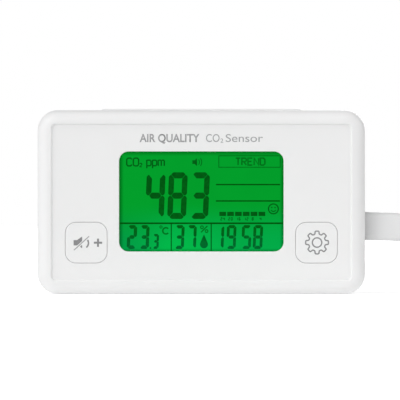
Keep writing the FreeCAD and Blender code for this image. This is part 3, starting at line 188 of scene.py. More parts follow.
def moulded_plastic(
    name, colour, roughness=0.42, grain=1.0, grime=0.02, reach=0.5 * MM, seam=None
):
    """Injection-moulded plastic: spark-eroded grain, a faint drift in tone and painted shade in
    corners.
    Painted shade: how much darker the colour is painted, standing in for shade, where other surfaces
    close in within its reach. A seam is the place along Y where two mouldings meet and their joint
    holds a dark line."""
    material, tree = new_material(name)
    drift = noise(tree, 55, 3)
    tone = mix_colour(tree, drift, shade(colour, 0.985), shade(colour, 1.01))
    # Painted shade: the colour darkens wherever the occlusion test finds other surfaces within the
    # reach, standing in for shade in corners and gaps.
    open_air = add(tree, "AmbientOcclusion", {"samples": 12}, Distance=reach).outputs["AO"]
    tone = mix_colour(tree, between(tree, open_air, 0.35, 0.95), shade(colour, 1 - grime), tone)
    worn = edge_share(tree, 0.25 * MM)
    tone = mix_colour(tree, maths(tree, "MULTIPLY", worn, 0.25), tone, shade(colour, 1.04))
    if seam is not None:
        away = distance_from(tree, part_of_place(tree, "Y"), seam)
        tone = mix_colour(tree, between(tree, away, 0.16 * MM, 0.06 * MM), tone, shade(colour, 0.4))
    rough = scaled_and_raised(tree, noise(tree, 900, 4), 0.14, roughness - 0.07)
    rough = maths(tree, "SUBTRACT", rough, maths(tree, "MULTIPLY", worn, 0.08))
    fine_pits = noise(tree, 5200, 2)
    pits = scaled_and_raised(tree, noise(tree, 1700, 2), 0.6, fine_pits)
    return surfaced(
        material,
        Base_Color=tone,
        Roughness=rough,
        IOR=1.46,
        Normal=bump(tree, pits, 0.006 * MM * grain, 0.5),
        Subsurface_Weight=0.04,
        Subsurface_Radius=(1.2 * MM, 1.0 * MM, 0.9 * MM),
    )


def soft_rubber(name, colour):
    """Flexible sheath: dull, with a fine drawn skin and a little bloom."""
    material, tree = new_material(name)
    bloom = between(tree, noise(tree, 420, 4), 0.35, 0.75)
    tone = mix_colour(tree, bloom, shade(colour, 0.95), shade(colour, 1.02))
    skin = noise(tree, 3800, 3)
    return surfaced(
        material,
        Base_Color=tone,
        Roughness=scaled_and_raised(tree, bloom, 0.1, 0.57),
        Normal=bump(tree, skin, 0.01 * MM, 0.5),
    )


def foam(name, colour):
    """Open-cell foam: a dark sponge of small round cells."""
    material, tree = new_material(name)
    cells = add(tree, "TexVoronoi", Vector=place_of(tree), Scale=4200.0).outputs["Distance"]
    tone = mix_colour(tree, between(tree, cells, 0.1, 0.6), shade(colour, 0.4), shade(colour, 1.6))
    return surfaced(
        material,
        Base_Color=tone,
        Roughness=0.92,
        Normal=bump(tree, cells, 0.05 * MM),
    )


def metal(name, colour, roughness, grain=(1.0, 1.0, 1.0), dulled=0.15):
    """Plated or rolled metal with hairline marks, fine scratches and patches of tarnish."""
    material, tree = new_material(name)
    patches = between(tree, noise(tree, 260, 4), 0.4, 0.72)
    tone = mix_colour(tree, patches, colour, shade(colour, 1 - dulled))
    lines = noise(tree, 2600, 3, stretch=grain)
    return surfaced(
        material,
        Base_Color=tone,
        Metallic=1.0,
        Roughness=scaled_and_raised(tree, patches, 0.14, roughness),
        Normal=bump(tree, lines, 0.004 * MM, 0.6),
    )


def circuit_board(name, mask, copper):
    """Solder mask over copper tracks, with the woven glass just showing through."""
    material, tree = new_material(name)
    across = part_of_place(tree, "X")
    flat = add(tree, "CombineXYZ", X=across, Y=part_of_place(tree, "Z")).outputs[0]
    lanes = add(
        tree,
        "TexBrick",
        {"offset": 0.37, "squash": 0.6, "squash_frequency": 3},
        Vector=flat,
        Scale=240.0,
        Mortar_Size=0.045,
        Mortar_Smooth=0.2,
    )
    weave_across = add(tree, "TexWave", {"bands_direction": "X"}, Vector=flat, Scale=900.0)
    weave_up = add(tree, "TexWave", {"bands_direction": "Y"}, Vector=flat, Scale=900.0)
    weave = maths(tree, "MULTIPLY", weave_across.outputs["Fac"], weave_up.outputs["Fac"])
    tone = mix_colour(tree, lanes.outputs["Fac"], mask, copper)
    tone = mix_colour(tree, maths(tree, "MULTIPLY", weave, 0.25), tone, shade(mask, 1.7))
    height = scaled_and_raised(tree, weave, 0.3, lanes.outputs["Fac"])
    return surfaced(
        material,
        Base_Color=tone,
        Roughness=0.32,
        Coat_Weight=0.4,
        Normal=bump(tree, height, 0.02 * MM, 0.6),
    )


def clear_sheet(name, tint, edge_tint):
    """Clear moulding seen as a thin sheet: see-through face on, brighter at a grazing angle."""
    material, tree = new_material(name)
    facing = add(tree, "LayerWeight", Blend=0.35).outputs["Facing"]
    grazing = maths(tree, "POWER", facing, 2.5)
    tone = mix_colour(tree, grazing, tint, edge_tint)
    through = add(tree, "BsdfTransparent", Color=tone)
    smears = between(tree, noise(tree, 130, 5), 0.45, 0.8, 0.04, 0.14)
    gloss = add(tree, "BsdfGlossy", Color=(1, 1, 1, 1), Roughness=smears)
    end_with(tree, mix_shaders(tree, maths(tree, "MULTIPLY", grazing, 0.75), through, gloss))
    return material


def lit_film(name, plain, low_tint, glow):
    """Backlit green film: bluer near the lamps below, and in shade under the window's edge."""
    material, tree = new_material(name)
    across = share_along(tree, part_of_place(tree, "X"), screen_left, WINDOW_WIDTH)
    up = share_along(tree, part_of_place(tree, "Z"), screen_bottom, WINDOW_HEIGHT)
    tone = mix_colour(tree, between(tree, up, 0.5, 0.0), plain, low_tint)
    pool = product(
        tree,
        between(tree, across, 0.0, 0.36),
        between(tree, across, 0.4, 0.78, 1.0, 0.5),
        between(tree, up, 0.52, 0.02),
    )
    tone = mix_colour(tree, pool, tone, glow)
    left_shade = between(tree, across, 0.004, 0.03, 0.5, 1.0)
    right_shade = between(tree, across, 0.996, 0.975, 0.55, 1.0)
    top_shade = between(tree, up, 0.995, 0.95, 0.6, 1.0)
    bottom_shade = between(tree, up, 0.005, 0.035, 0.62, 1.0)
    cloud = between(tree, noise(tree, 70, 2), 0.3, 0.7, 0.98, 1.02)
    strength = product(tree, left_shade, right_shade, top_shade, bottom_shade, cloud)
    end_with(tree, add(tree, "Emission", Color=tone, Strength=strength))
    return material


def dark_segment(name, upper, lower):
    """A switched segment: dark green, a little uneven where the backlight leaks past it."""
    material, tree = new_material(name)
    up = share_along(tree, part_of_place(tree, "Z"), screen_bottom, WINDOW_HEIGHT)
    tone = mix_colour(tree, between(tree, up, 0.25, 0.0), upper, lower)
    leak = between(tree, noise(tree, 900, 3), 0.3, 0.8, 0.85, 1.15)
    end_with(tree, add(tree, "Emission", Color=tone, Strength=leak))
    return material


def printed_ink(name, colour):
    """Screen-printed ink: flat and dull, slightly uneven in cover."""
    material, tree = new_material(name)
    cover = between(tree, noise(tree, 2400, 3), 0.3, 0.75)
    tone = mix_colour(tree, cover, shade(colour, 0.93), shade(colour, 1.08))
    return surfaced(
        material,
        Base_Color=tone,
        Roughness=0.6,
        Normal=bump(tree, cover, 0.003 * MM),
    )


def label_paper(name, colour):
    """Foil-backed label stock with a faint brushed grain."""
    material, tree = new_material(name)
    fibres = noise(tree, 1400, 4, stretch=(0.06, 1.0, 1.0))
    tone = mix_colour(tree, fibres, shade(colour, 0.93), shade(colour, 1.05))
    return surfaced(
        material,
        Base_Color=tone,
        Metallic=0.35,
        Roughness=0.38,
        Normal=bump(tree, fibres, 0.004 * MM),
    )


def woven_membrane(name, colour):
    """Dust membrane: a tight weave of fine white threads."""
    material, tree = new_material(name)
    where = place_of(tree)
    across = add(tree, "TexWave", {"bands_direction": "X"}, Vector=where, Scale=1300.0)
    up = add(tree, "TexWave", {"bands_direction": "Z"}, Vector=where, Scale=1300.0)
    threads = maths(tree, "MAXIMUM", across.outputs["Fac"], up.outputs["Fac"])
    tone = mix_colour(tree, threads, shade(colour, 0.7), colour)
    return surfaced(
        material,
        Base_Color=tone,
        Roughness=0.85,
        Sheen_Weight=0.3,
        Normal=bump(tree, threads, 0.03 * MM),
    )


SHELL_WHITE = (0.868, 0.868, 0.869)
LEAD_WHITE = (0.798, 0.8, 0.803)

SLOTS = {}


def slot(name, make, *colours, **settings):
    """Makes the material of one of the record's slots."""
    SLOTS[name] = make(name, *colours, **settings)


slot("white_abs", moulded_plastic, SHELL_WHITE, seam=shell_high.y)
slot("white_button", moulded_plastic, SHELL_WHITE, roughness=0.38, grain=0.6)
slot("clear_lens", clear_sheet, (1.0, 1.0, 1.0), (0.8, 0.86, 0.84))
slot("black_foam", foam, (0.02, 0.02, 0.02))
slot("lcd_film", lit_film, (0.001, 0.338, 0.024), (0.001, 0.325, 0.062), (0.001, 0.485, 0.068))
slot("lcd_glass", clear_sheet, (0.8, 0.95, 0.85), (0.3, 0.6, 0.4))
slot("clear_acrylic", clear_sheet, (0.93, 0.98, 0.96), (0.6, 0.75, 0.7))
slot("white_film", moulded_plastic, (0.85, 0.86, 0.86), roughness=0.6, grain=0.4)
slot("connector_rubber", soft_rubber, (0.5, 0.5, 0.48))
slot("led_epoxy", moulded_plastic, (0.8, 0.82, 0.62), roughness=0.2, grain=0.3)
slot("board_green", circuit_board, (0.012, 0.11, 0.035), (0.03, 0.2, 0.06))
slot("board_blue", circuit_board, (0.01, 0.04, 0.16), (0.03, 0.1, 0.28))
slot("chip_black", moulded_plastic, (0.018, 0.018, 0.02), roughness=0.5, grain=1.5)
slot("can_metal", metal, (0.7, 0.7, 0.72), roughness=0.3, grain=(1.0, 0.1, 1.0))
slot("black_plastic", moulded_plastic, (0.02, 0.02, 0.021), roughness=0.4)
slot("plunger_plastic", moulded_plastic, (0.03, 0.03, 0.032), roughness=0.35)
slot("dome_steel", metal, (0.72, 0.72, 0.74), roughness=0.18)
slot("brass", metal, (0.68, 0.5, 0.2), roughness=0.3)
slot("gold_plate", metal, (0.83, 0.61, 0.27), roughness=0.2)
slot("membrane", woven_membrane, (0.85, 0.85, 0.83))
slot("lamp_glass", clear_sheet, (0.8, 0.88, 0.92), (0.4, 0.5, 0.6))
slot("plated_steel", metal, (0.55, 0.55, 0.57), roughness=0.3, grain=(0.15, 1.0, 1.0), dulled=0.1)
slot("screw_steel", metal, (0.5, 0.5, 0.52), roughness=0.34, dulled=0.25)
slot("white_insulator", moulded_plastic, (0.8, 0.8, 0.78), roughness=0.45)
slot("black_insulator", moulded_plastic, (0.02, 0.02, 0.02), roughness=0.45)
# The grip's strong, wide painted shade stands in for the case's shadow falling on the plug beside it.
slot(
    "white_grip", moulded_plastic, LEAD_WHITE, roughness=0.48, grain=1.2, grime=0.33, reach=8.0 * MM
)
slot("white_sheath", soft_rubber, LEAD_WHITE)
slot("wire_sheath", soft_rubber, (0.55, 0.03, 0.02))
slot("label_paper", label_paper, (0.6, 0.61, 0.62))

DIGIT_INK = dark_segment("digit_segments", (0.001, 0.1, 0.007), (0.001, 0.12, 0.015))
SMALL_INK = dark_segment("small_segments", (0.001, 0.115, 0.008), (0.001, 0.14, 0.028))
RULE_INK = dark_segment("rule_segments", (0.001, 0.09, 0.004), (0.001, 0.11, 0.01))
FAINT_INK = dark_segment("faint_segments", (0.001, 0.165, 0.011), (0.001, 0.19, 0.03))
CAPTION_INK = printed_ink("caption_ink", (0.37, 0.375, 0.38))
LIGHT_INK = printed_ink("light_caption_ink", (0.34, 0.345, 0.35))
ICON_INK = printed_ink("icon_ink", (0.25, 0.25, 0.255))
LABEL_INK = printed_ink("label_ink", (0.08, 0.08, 0.085))


def dress_nodes():
    """Every carried-over CAD node takes the material of its slot in the record."""
    for part in frame["record"]["subparts"]:
        node = frame["nodes"][part["node"]]
        node.data.materials.clear()
        node.data.materials.append(SLOTS[part["material_slot"]])


# ---------------------------------------------------------------- flat artwork


def shifted_path(points, distance, closed):
    """The path moved sideways by a distance, with mitred corners."""
    result = []
    count = len(points)
    for index, (x, z) in enumerate(points):
        ahead = points[(index + 1) % count] if closed or index < count - 1 else None
        behind = points[index - 1] if closed or index else None
        normals = []
        for start, end in ((behind, (x, z)), ((x, z), ahead)):
            if start is None or end is None:
                continue
            run = math.hypot(end[0] - start[0], end[1] - start[1])
            normals.append(((start[1] - end[1]) / run, (end[0] - start[0]) / run))
        nx = sum(normal[0] for normal in normals)
        nz = sum(normal[1] for normal in normals)
        length = math.hypot(nx, nz)
        nx, nz = nx / length, nz / length
        spread = max(nx * normals[0][0] + nz * normals[0][1], 0.5)
        result.append((x + nx * distance / spread, z + nz * distance / spread))
    return result


def rounded(points, reach):
    """A closed outline with each corner replaced by a curve that starts a short way back."""
    steps = 3
    result = []
    for index, (x, z) in enumerate(points):
        ends = []
        for other_x, other_z in (points[index - 1], points[(index + 1) % len(points)]):
            run = math.hypot(other_x - x, other_z - z)
            share = min(reach, run * 0.45) / run
            ends.append((x + (other_x - x) * share, z + (other_z - z) * share))
        for step in range(steps + 1):
            t = step / steps
            weights = ((1 - t) ** 2, 2 * t * (1 - t), t**2)
            corner = (ends[0], (x, z), ends[1])
            result.append(
                tuple(sum(w * point[axis] for w, point in zip(weights, corner)) for axis in (0, 1))
            )
    return result


def stroke(points, width):
    """An open line of constant width, as one outline."""
    left = shifted_path(points, width / 2, False)
    right = shifted_path(points, -width / 2, False)
    return left + right[::-1]


def ring(points, width):
    """A closed line of constant width, as an outer and an inner outline."""
    outer = shifted_path(points, -width / 2, True)
    inner = shifted_path(points, width / 2, True)
    return outer, inner


def arc(centre, radius, start, end, steps):
    """Points on an arc between two angles in degrees."""
    turn = [math.radians(start + (end - start) * step / steps) for step in range(steps + 1)]
    return [(centre[0] + radius * math.cos(a), centre[1] + radius * math.sin(a)) for a in turn]


def loop_of(centre, radius, steps=40):
    return arc(centre, radius, 0, 360 * (1 - 1 / steps), steps - 1)


def moved(shape, dx, dz, scale=1.0):
    """An outline, or a pair of them, scaled about the origin and then moved."""
    if isinstance(shape, tuple):
        return tuple(moved(part, dx, dz, scale) for part in shape)
    return [(x * scale + dx, z * scale + dz) for x, z in shape]


def lean(outline, angle):
    """An outline slanted to the right by an angle in degrees."""
    push = math.tan(math.radians(angle))
    return [(x + z * push, z) for x, z in outline]


def ride_with(name, bm, material, body):
    """Turns a bmesh into a piece of one material that moves with a body."""
    bmesh.ops.recalc_face_normals(bm, faces=bm.faces)
    mesh = bpy.data.meshes.new(name)
    bm.to_mesh(mesh)
    bm.free()
    mesh.materials.append(material)
    piece = bpy.data.objects.new(name, mesh)
    bpy.context.scene.collection.objects.link(piece)
    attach(piece, body)


def lay(name, shapes, origin, material, body):
    """Builds flat shapes, in millimetres from an origin, as a thin piece just in front of it."""
    bm = bmesh.new()

    def row(points, y):
        return [
            bm.verts.new((origin.x + x * MM, origin.y + y, origin.z + z * MM)) for x, z in points
        ]

    for shape in shapes:
        loops = shape if isinstance(shape, tuple) else (shape,)
        front = [row(points, -PRINT_DEPTH) for points in loops]
        back = [row(points, 0) for points in loops]
        for near, far in zip(front, back):
            for index in range(len(near)):
                after = (index + 1) % len(near)
                bm.faces.new((near[index], near[after], far[after], far[index]))
        if len(loops) == 1:
            bm.faces.new(front[0])
            bm.faces.new(back[0])
            continue
        for outer, inner in (front, back):
            for index in range(len(outer)):
                after = (index + 1) % len(outer)
                bm.faces.new((outer[index], outer[after], inner[after], inner[index]))
    ride_with(name, bm, material, body)


# ---------------------------------------------------------------- display read-out

DIGIT_SLANT = 2.4
TREND_HOURS = ("24", "20", "16", "12", "8", "4")
SEGMENTS_OF = {
    "0": "abcdef",
    "1": "bc",
    "2": "abged",
    "3": "abgcd",
    "4": "fgbc",
    "5": "afgcd",
    "6": "acdefg",
    "7": "abc",
    "8": "abcdefg",
    "9": "abcdfg",
}


def segment_shapes(width, height, bar, gap):
    """The seven bars of a digit: a to f clockwise from the top, and g across the middle."""
    middle = height / 2
    corner = bar * 0.75
    half = bar * 0.56
    deep = bar * 1.12
    top = [
        (corner + gap, height),
        (width - corner - gap, height),
        (width - corner / 2 - gap, height - corner / 2),
        (width - bar - gap, height - deep),
        (bar + gap, height - deep),
        (corner / 2 + gap, height - corner / 2),
    ]
    upper_left = [
        (0, height - corner - gap),
        (corner / 2, height - corner / 2 - gap),
        (bar, height - deep - gap),
        (bar, middle + half + gap),
        (half, middle + gap),
        (half * 0.5, middle + gap),
        (0, middle + half * 0.6 + gap),
    ]
    across = [
        (half + gap, middle),
        (bar + gap, middle + half),
        (width - bar - gap, middle + half),
        (width - half - gap, middle),
        (width - bar - gap, middle - half),
        (bar + gap, middle - half),
    ]
    turn = bar * 0.14
    top, upper_left, across = (rounded(shape, turn) for shape in (top, upper_left, across))

    def mirrored(shape):
        return [(width - x, z) for x, z in shape]

    def flipped(shape):
        return [(x, height - z) for x, z in shape]

    return {
        "a": top,
        "b": mirrored(upper_left),
        "c": flipped(mirrored(upper_left)),
        "d": flipped(top),
        "e": flipped(upper_left),
        "f": upper_left,
        "g": across,
    }


def digit_shapes(text, left, bottom, width, height, bar, pitch, gap):
    """Slanted seven-segment digits in a row, in millimetres from the screen's corner."""
    bars = segment_shapes(width, height, bar, gap)
    shapes = []
    for index, digit in enumerate(text):
        for key in SEGMENTS_OF[digit]:
            leaned = lean(bars[key], DIGIT_SLANT)
            shapes.append(moved(leaned, left + index * pitch, bottom))
    return shapes


def low_digits(text, left, width, bar, pitch, gap=0.05):
    """Digits of the display's bottom row, which all stand on one line at one height."""
    return digit_shapes(text, left, 0.9, width, 8.75, bar, pitch, gap)


# Stroked capitals and small letters on a cell one unit high.
LETTERS = {
    "C": [
        [(0.66, 0.84), (0.5, 1.0), (0.16, 1.0), (0.0, 0.84)]
        + [(0.0, 0.16), (0.16, 0.0), (0.5, 0.0), (0.66, 0.16)]
    ],
    "O": [
        [(0.16, 0.0), (0.52, 0.0), (0.68, 0.16), (0.68, 0.84), (0.52, 1.0)]
        + [(0.16, 1.0), (0.0, 0.84), (0.0, 0.16), (0.16, 0.0)]
    ],
    "T": [
        [(0.0, 1.0), (0.68, 1.0)],
        [(0.34, 0.93), (0.34, 0.0)],
    ],
    "R": [
        [(0.0, 0.0), (0.0, 1.0), (0.5, 1.0), (0.64, 0.86), (0.64, 0.64), (0.5, 0.5), (0.07, 0.5)],
        [(0.32, 0.43), (0.64, 0.0)],
    ],
    "E": [
        [(0.62, 1.0), (0.0, 1.0), (0.0, 0.0), (0.62, 0.0)],
        [(0.07, 0.52), (0.5, 0.52)],
    ],
    "N": [
        [(0.0, 0.0), (0.0, 1.0), (0.64, 0.0), (0.64, 1.0)],
    ],
    "D": [
        [(0.0, 0.0), (0.0, 1.0), (0.46, 1.0), (0.66, 0.8), (0.66, 0.2), (0.46, 0.0), (0.0, 0.0)],
    ],
    "2": [
        [(0.0, 0.84), (0.14, 1.0), (0.46, 1.0), (0.6, 0.84), (0.6, 0.64), (0.0, 0.0), (0.64, 0.0)],
    ],
    "p": [
        [(0.0, -0.32), (0.0, 0.82)],
        [(0.07, 0.76), (0.42, 0.76), (0.56, 0.62), (0.56, 0.16), (0.42, 0.02), (0.07, 0.02)],
    ],
    "m": [
        [(0.0, 0.0), (0.0, 0.82)],
        [(0.07, 0.76), (0.3, 0.76), (0.4, 0.66), (0.4, 0.0)],
        [(0.47, 0.76), (0.7, 0.76), (0.8, 0.66), (0.8, 0.0)],
    ],
}


def letter_shapes(text, left, bottom, height, pitch, line):
    shapes = []
    for index, letter in enumerate(text):
        for points in LETTERS[letter]:
            drawn = stroke([(x * height, z * height) for x, z in points], line)
            shapes.append(moved(drawn, left + index * pitch, bottom))
    return shapes


def block_shape(left, bottom, right, top):
    return [(left, bottom), (right, bottom), (right, top), (left, top)]


def speaker_shapes():
    """A small loudspeaker about four units wide, with two sound waves to its right."""
    horn = [(0.0, 0.75), (0.9, 0.75), (1.9, 1.6), (1.9, -1.6), (0.9, -0.75), (0.0, -0.75)]
    near_wave = stroke(arc((1.2, 0), 1.7, -38, 38, 10), 0.32)
    far_wave = stroke(arc((1.2, 0), 2.6, -36, 36, 12), 0.32)
    return [horn, near_wave, far_wave]


def drop_shape(left, bottom, width, height):
    """A water drop with a pointed top."""
    radius = width / 2
    centre = (left + radius, bottom + radius)
    round_part = arc(centre, radius, -205, 25, 30)
    tip = (left + radius, bottom + height)
    return round_part + [
        (left + radius + width * 0.16, bottom + height * 0.8),
        tip,
        (left + radius - width * 0.16, bottom + height * 0.8),
    ]


def show(name, shapes, ink):
    """Lays dark segments on the front of the lit film."""
    corner = Vector((screen_left, film_low.y, screen_bottom))
    lay(name, shapes, corner, ink, "monitor")


def show_gas_reading():
    """The large digits, and the lines that divide the display."""
    digits = digit_shapes(
        "483", left=9.4, bottom=11.9, width=6.9, height=17.1, bar=2.0, pitch=8.13, gap=0.07
    )
    show("gas_digits", digits, DIGIT_INK)
    rules = [
        block_shape(0.1, 10.02, 60.1, 10.62),
        block_shape(18.86, 0.1, 19.26, 10.01),
        block_shape(33.5, 0.1, 33.9, 10.01),
    ]
    show("divider_lines", rules, RULE_INK)


def show_trend_chart():
    """Two rules, six bars with the hours below them, and a smiling face."""
    rules = [block_shape(35.45, 24.25, 58.95, 24.75), block_shape(35.45, 18.25, 58.95, 18.75)]
    show("trend_lines", rules, RULE_INK)
    pitch = 2.87
    bars = []
    marks = []
    for index, text in enumerate(TREND_HOURS):
        left = 36.7 + pitch * index
        bars.append(block_shape(left, 12.98, left + 2.45, 14.52))
        marks += digit_shapes(
            text, left + 0.35, bottom=11.3, width=0.7, height=1.25, bar=0.26, pitch=0.95, gap=0.0
        )
    show("trend_bars", bars, DIGIT_INK)
    show("scale_marks", marks, SMALL_INK)
    middle = (56.5, 15.6)
    face = [ring(loop_of(middle, 1.8), 0.46)]
    face += [loop_of((middle[0] + side, middle[1] + 0.5), 0.26, 16) for side in (-0.6, 0.6)]
    face.append(stroke(arc(middle, 0.95, 205, 335, 12), 0.36))
    show("face_icon", face, SMALL_INK)


def show_top_row():
    """The gas's unit, a loudspeaker and the framed title of the chart."""
    unit = letter_shapes("CO", left=2.75, bottom=31.35, height=2.85, pitch=2.4, line=0.5)
    unit += letter_shapes("2", left=7.5, bottom=31.0, height=1.3, pitch=1.0, line=0.32)
    unit += letter_shapes("ppm", left=10.1, bottom=31.35, height=2.75, pitch=2.1, line=0.5)
    show("gas_unit", unit, SMALL_INK)
    speaker = [moved(shape, 26.8, 32.75, 0.9) for shape in speaker_shapes()]
    show("sound_icon", speaker, SMALL_INK)
    frame_line = ring(block_shape(36.5, 30.85, 59.0, 35.05), 0.32)
    title = letter_shapes("TREND", left=42.7, bottom=31.65, height=2.55, pitch=2.25, line=0.54)
    show("trend_title", [frame_line, *title], FAINT_INK)


def show_warmth():
    digits = low_digits("23", left=2.68, width=3.58, bar=1.2, pitch=4.55, gap=0.04)
    digits.append(block_shape(11.15, 0.95, 11.7, 1.55))
    digits += digit_shapes(
        "3", left=12.1, bottom=0.95, width=2.3, height=5.45, bar=0.85, pitch=3.0, gap=0.03
    )
    show("warmth_digits", digits, SMALL_INK)
    degree = [ring(loop_of((15.3, 8.95), 0.42, 20), 0.32)]
    degree.append(stroke(arc((17.1, 7.55), 1.15, 42, 318, 24), 0.56))
    show("warmth_unit", degree, FAINT_INK)


def show_dampness():
    digits = low_digits("37", left=20.15, width=3.5, bar=1.1, pitch=4.45)
    digits.append(drop_shape(left=29.6, bottom=1.15, width=2.9, height=5.15))
    show("damp_digits", digits, SMALL_INK)
    percent = [
        ring(loop_of((30.3, 8.85), 0.5, 18), 0.4),
        ring(loop_of((32.0, 7.45), 0.5, 18), 0.4),
        stroke([(30.0, 7.0), (32.3, 9.35)], 0.46),
    ]
    show("damp_unit", percent, FAINT_INK)


def show_clock():
    digits = []
    for text, left, width in (("1", 34.6, 3.6), ("9", 39.15, 3.5), ("58", 44.7, 3.5)):
        digits += low_digits(text, left, width, bar=1.05, pitch=4.2)
    show("clock_digits", digits, SMALL_INK)


def make_read_out():
    show_gas_reading()
    show_trend_chart()
    show_top_row()
    show_warmth()
    show_dampness()
    show_clock()


# ---------------------------------------------------------------- printed icons and caption


def gear_shapes():
    """An outlined cog with a round hole, centred on the origin, with its corners rounded."""
    teeth = 8
    tip = 4.22
    root = 3.12
    line = 0.47
    outline = []
    pitch = 360 / teeth
    for tooth in range(teeth):
        middle = 90 + tooth * pitch
        corners = (
            (root, -pitch * 0.32),
            (tip, -pitch * 0.21),
            (tip, pitch * 0.21),
            (root, pitch * 0.32),
        )
        for radius, offset in corners:
            angle = math.radians(middle + offset)
            outline.append((radius * math.cos(angle), radius * math.sin(angle)))
    return [ring(rounded(outline, 0.38), line), ring(loop_of((0, 0), 1.72), line)]


def mute_shapes():
    """A loudspeaker crossed out by a slash, with a plus sign to its right."""
    upper_horn = [(-4.62, 0.93), (-3.35, 0.93), (-1.62, 2.2), (-1.5, 2.2)]
    upper_horn += [(-1.5, 0.62), (-3.3, -1.0), (-4.62, -1.0)]
    lower_horn = [(-2.3, -1.42), (-1.5, -0.75), (-1.5, -1.95), (-1.7, -1.95)]
    slash = stroke([(-4.5, -2.75), (1.05, 2.35)], 0.34)
    wave = stroke(arc((-1.35, -0.1), 2.15, -50, 32, 16), 0.56)
    arm, half = 1.5, 0.36
    centre_x, centre_z = 4.3, -0.02
    turns = ((arm, half), (half, half), (half, arm))
    plus = []
    for side_x, side_z, order in ((1, 1, 1), (-1, 1, -1), (-1, -1, 1), (1, -1, -1)):
        plus += [(centre_x + side_x * x, centre_z + side_z * z) for x, z in turns[::order]]
    return [upper_horn, lower_horn, wave, plus], [slash]


def front_middle(node):
    low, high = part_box(node)
    return Vector(((low.x + high.x) / 2, low.y, (low.z + high.z) / 2))


def make_icons():
    left_middle = front_middle("mute_button")
    solid, thin = mute_shapes()
    lay("mute_icon", solid, left_middle, ICON_INK, "mute_key")
    lay("mute_slash", thin, left_middle, LIGHT_INK, "mute_key")
    gear = [moved(shape, 0.2, 0.05) for shape in gear_shapes()]
    lay("gear_icon", gear, front_middle("settings_button"), ICON_INK, "settings_key")


# Height of a capital in the built-in font, at a size of 1.
CAPITAL_OF_FONT = 0.73


def set_words(name, text, left, width, baseline, height, ink, weight=0.0):
    """Plain printed words on the sunken panel, fitted to a width and to the height of a capital."""
    curve = bpy.data.curves.new(name + "_curve", "FONT")
    curve.body = text
    curve.size = 1.0
    curve.offset = weight
    curve.resolution_u = 6
    holder = bpy.data.objects.new(name + "_holder", curve)
    bpy.context.scene.collection.objects.link(holder)
    bpy.context.view_layer.update()
    flat = bpy.data.meshes.new_from_object(holder)
    bpy.data.objects.remove(holder)
    xs = [vertex.co.x for vertex in flat.vertices]
    across = width / (max(xs) - min(xs))
    up = height / CAPITAL_OF_FONT
    bm = bmesh.new()
    bm.from_mesh(flat)
    bmesh.ops.remove_doubles(bm, verts=bm.verts, dist=1e-5)
    for vertex in bm.verts:
        x = left + (vertex.co.x - min(xs)) * across
        z = baseline + vertex.co.y * up
        vertex.co = Vector((x, panel_y - PRINT_DEPTH, z))
    made = bmesh.ops.extrude_face_region(bm, geom=bm.faces[:])
    for part in made["geom"]:
        if isinstance(part, bmesh.types.BMVert):
            part.co.y = panel_y
    ride_with(name, bm, ink, "monitor")


def make_caption():
    """Generic words above the window, the first of them bold."""
    base = 55.75 * MM
    tall = 3.0 * MM
    low_base = 55.45 * MM
    low_tall = 1.6 * MM
    set_words("caption_words", "AIR QUALITY", -22.6 * MM, 21.9 * MM, base, tall, CAPTION_INK, 0.02)
    set_words("caption_gas", "CO", 1.7 * MM, 4.95 * MM, base, tall, LIGHT_INK)
    set_words("caption_two", "2", 6.97 * MM, 1.05 * MM, low_base, low_tall, LIGHT_INK)
    set_words("caption_kind", "Sensor", 8.9 * MM, 13.6 * MM, base, tall, LIGHT_INK)


def make_label_lines():
    """A blank form on the rating label: a border with rows and a column, and no words."""
    low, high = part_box("rating_label")
    corner = Vector((low.x, high.y + PRINT_DEPTH, low.z))
    wide = (high.x - low.x) / MM
    tall = (high.z - low.z) / MM
    margin, line = 1.4, 0.18
    border = block_shape(margin, margin, wide - margin, tall - margin)
    shapes = [ring(rounded(border, 0.8), line)]
    rows = 4
    for index in range(1, rows):
        level = margin + (tall - 2 * margin) * index / rows
        shapes.append(block_shape(margin, level - line / 2, wide - margin, level + line / 2))
    column = wide * 0.62
    first_row = margin + (tall - 2 * margin) / rows
    shapes.append(block_shape(column, margin, column + line, first_row - line / 2))
    lay("label_lines", shapes, corner, LABEL_INK, "monitor")


# ---------------------------------------------------------------- stage, light and camera


def make_stage():
    """A pale floor that also gives off light, more of it in a narrow strip under the front edge."""
    bpy.ops.mesh.primitive_plane_add(size=8, location=(0, 0, 0))
    floor = bpy.context.object
    floor.name = "floor"
    material, tree = new_material("floor_paper")
    speck = between(tree, noise(tree, 8, 3), 0.2, 0.8)
    tone = mix_colour(tree, speck, (0.88, 0.88, 0.88), (0.9, 0.9, 0.9))
    matt = add(tree, "BsdfDiffuse", Color=tone)
    strip_middle = shell_low.y + 3.5 * MM
    off_strip = distance_from(tree, part_of_place(tree, "Y"), strip_middle)
    sideways = maths(tree, "ABSOLUTE", part_of_place(tree, "X"))
    strip = maths(
        tree,
        "MULTIPLY",
        between(tree, off_strip, 2.2 * MM, 0.8 * MM),
        between(tree, sideways, shell_high.x + 6 * MM, shell_high.x - 2 * MM),
    )
    to_object = scaled_and_raised(tree, strip, 0.14, 0.165)
    to_camera = maths(tree, "MULTIPLY", add(tree, "LightPath").outputs["Is Camera Ray"], 0.4)
    strength = maths(tree, "MAXIMUM", to_object, to_camera)
    glow = add(tree, "Emission", Color=(1, 1, 1, 1), Strength=strength)
    both = add(tree, "AddShader")
    tree.links.new(matt.outputs[0], both.inputs[0])
    tree.links.new(glow.outputs[0], both.inputs[1])
    clear = add(tree, "BsdfTransparent")
    from_below = add(tree, "NewGeometry").outputs["Backfacing"]
    end_with(tree, mix_shaders(tree, from_below, both, clear))
    floor.data.materials.append(material)


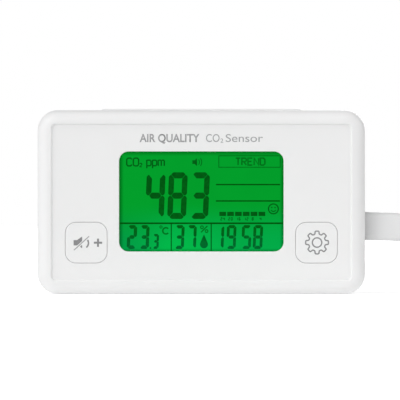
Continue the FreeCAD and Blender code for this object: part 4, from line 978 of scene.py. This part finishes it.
def make_world():
    """White to the camera. To the object, a light tent: bright at the sides, dim behind the camera."""
    world = bpy.data.worlds.new("studio")
    bpy.context.scene.world = world
    world.use_nodes = True
    tree = world.node_tree
    tree.nodes.clear()
    way = add(tree, "SeparateXYZ", Vector=add(tree, "TexCoord").outputs["Generated"])
    side_level = 0.76
    least_level = 0.25
    front = maths(tree, "MULTIPLY", way.outputs["Y"], -1.0)
    level = maths(tree, "MULTIPLY", front, scaled_and_raised(tree, front, -2.35, 1.9))
    level = scaled_and_raised(tree, way.outputs["X"], -0.24, level)
    level = scaled_and_raised(tree, way.outputs["Z"], 0.02, level)
    level = maths(tree, "MAXIMUM", maths(tree, "ADD", level, side_level), least_level)
    tent = add(tree, "Background", Color=(1, 1, 1, 1), Strength=level)
    white = add(tree, "Background", Color=(1, 1, 1, 1), Strength=1.0)
    seen = add(tree, "LightPath").outputs["Is Camera Ray"]
    end_with(tree, mix_shaders(tree, seen, tent, white), "OutputWorld")


def far_lamp(name, way_from, power, spread):
    """A far lamp whose light comes from one direction, spread over an angle in degrees."""
    light = bpy.data.lights.new(name, "SUN")
    light.energy = power
    light.angle = math.radians(spread)
    holder = bpy.data.objects.new(name, light)
    holder.rotation_euler = Vector(way_from).to_track_quat("Z", "Y").to_euler()
    holder.location = way_from
    bpy.context.scene.collection.objects.link(holder)


def soft_light(name, place, target, size, power):
    """A round lamp of a size in metres, turned to a target."""
    light = bpy.data.lights.new(name, "AREA")
    light.shape = "DISK"
    light.size = size
    light.energy = power
    holder = bpy.data.objects.new(name, light)
    holder.location = place
    holder.rotation_euler = (Vector(target) - Vector(place)).to_track_quat("-Z", "Y").to_euler()
    bpy.context.scene.collection.objects.link(holder)


def make_camera():
    """Level and square on, from far back, a little left of the middle of the front."""
    distance = 1.5
    view_width = 146.2 * MM
    view_middle = (-0.5 * MM, 34.5 * MM)
    camera = bpy.data.cameras.new("camera")
    camera.lens = camera.sensor_width * distance / view_width
    camera.clip_start = 0.01
    camera.clip_end = 50
    holder = bpy.data.objects.new("camera", camera)
    holder.location = (view_middle[0], shell_low.y - distance, view_middle[1])
    holder.rotation_euler = (math.radians(90), 0, 0)
    bpy.context.scene.collection.objects.link(holder)
    bpy.context.scene.camera = holder


dress_nodes()
make_read_out()
make_icons()
make_caption()
make_label_lines()
make_stage()
make_world()
far_lamp("front_left", way_from=(-0.6, -0.65, 0.4), power=0.5, spread=24)
soft_light("back", place=(0.8, 3.0, 0.9), target=(0, 0, 0.03), size=1.6, power=40)
make_camera()
bpy.context.scene.view_settings.view_transform = "Standard"
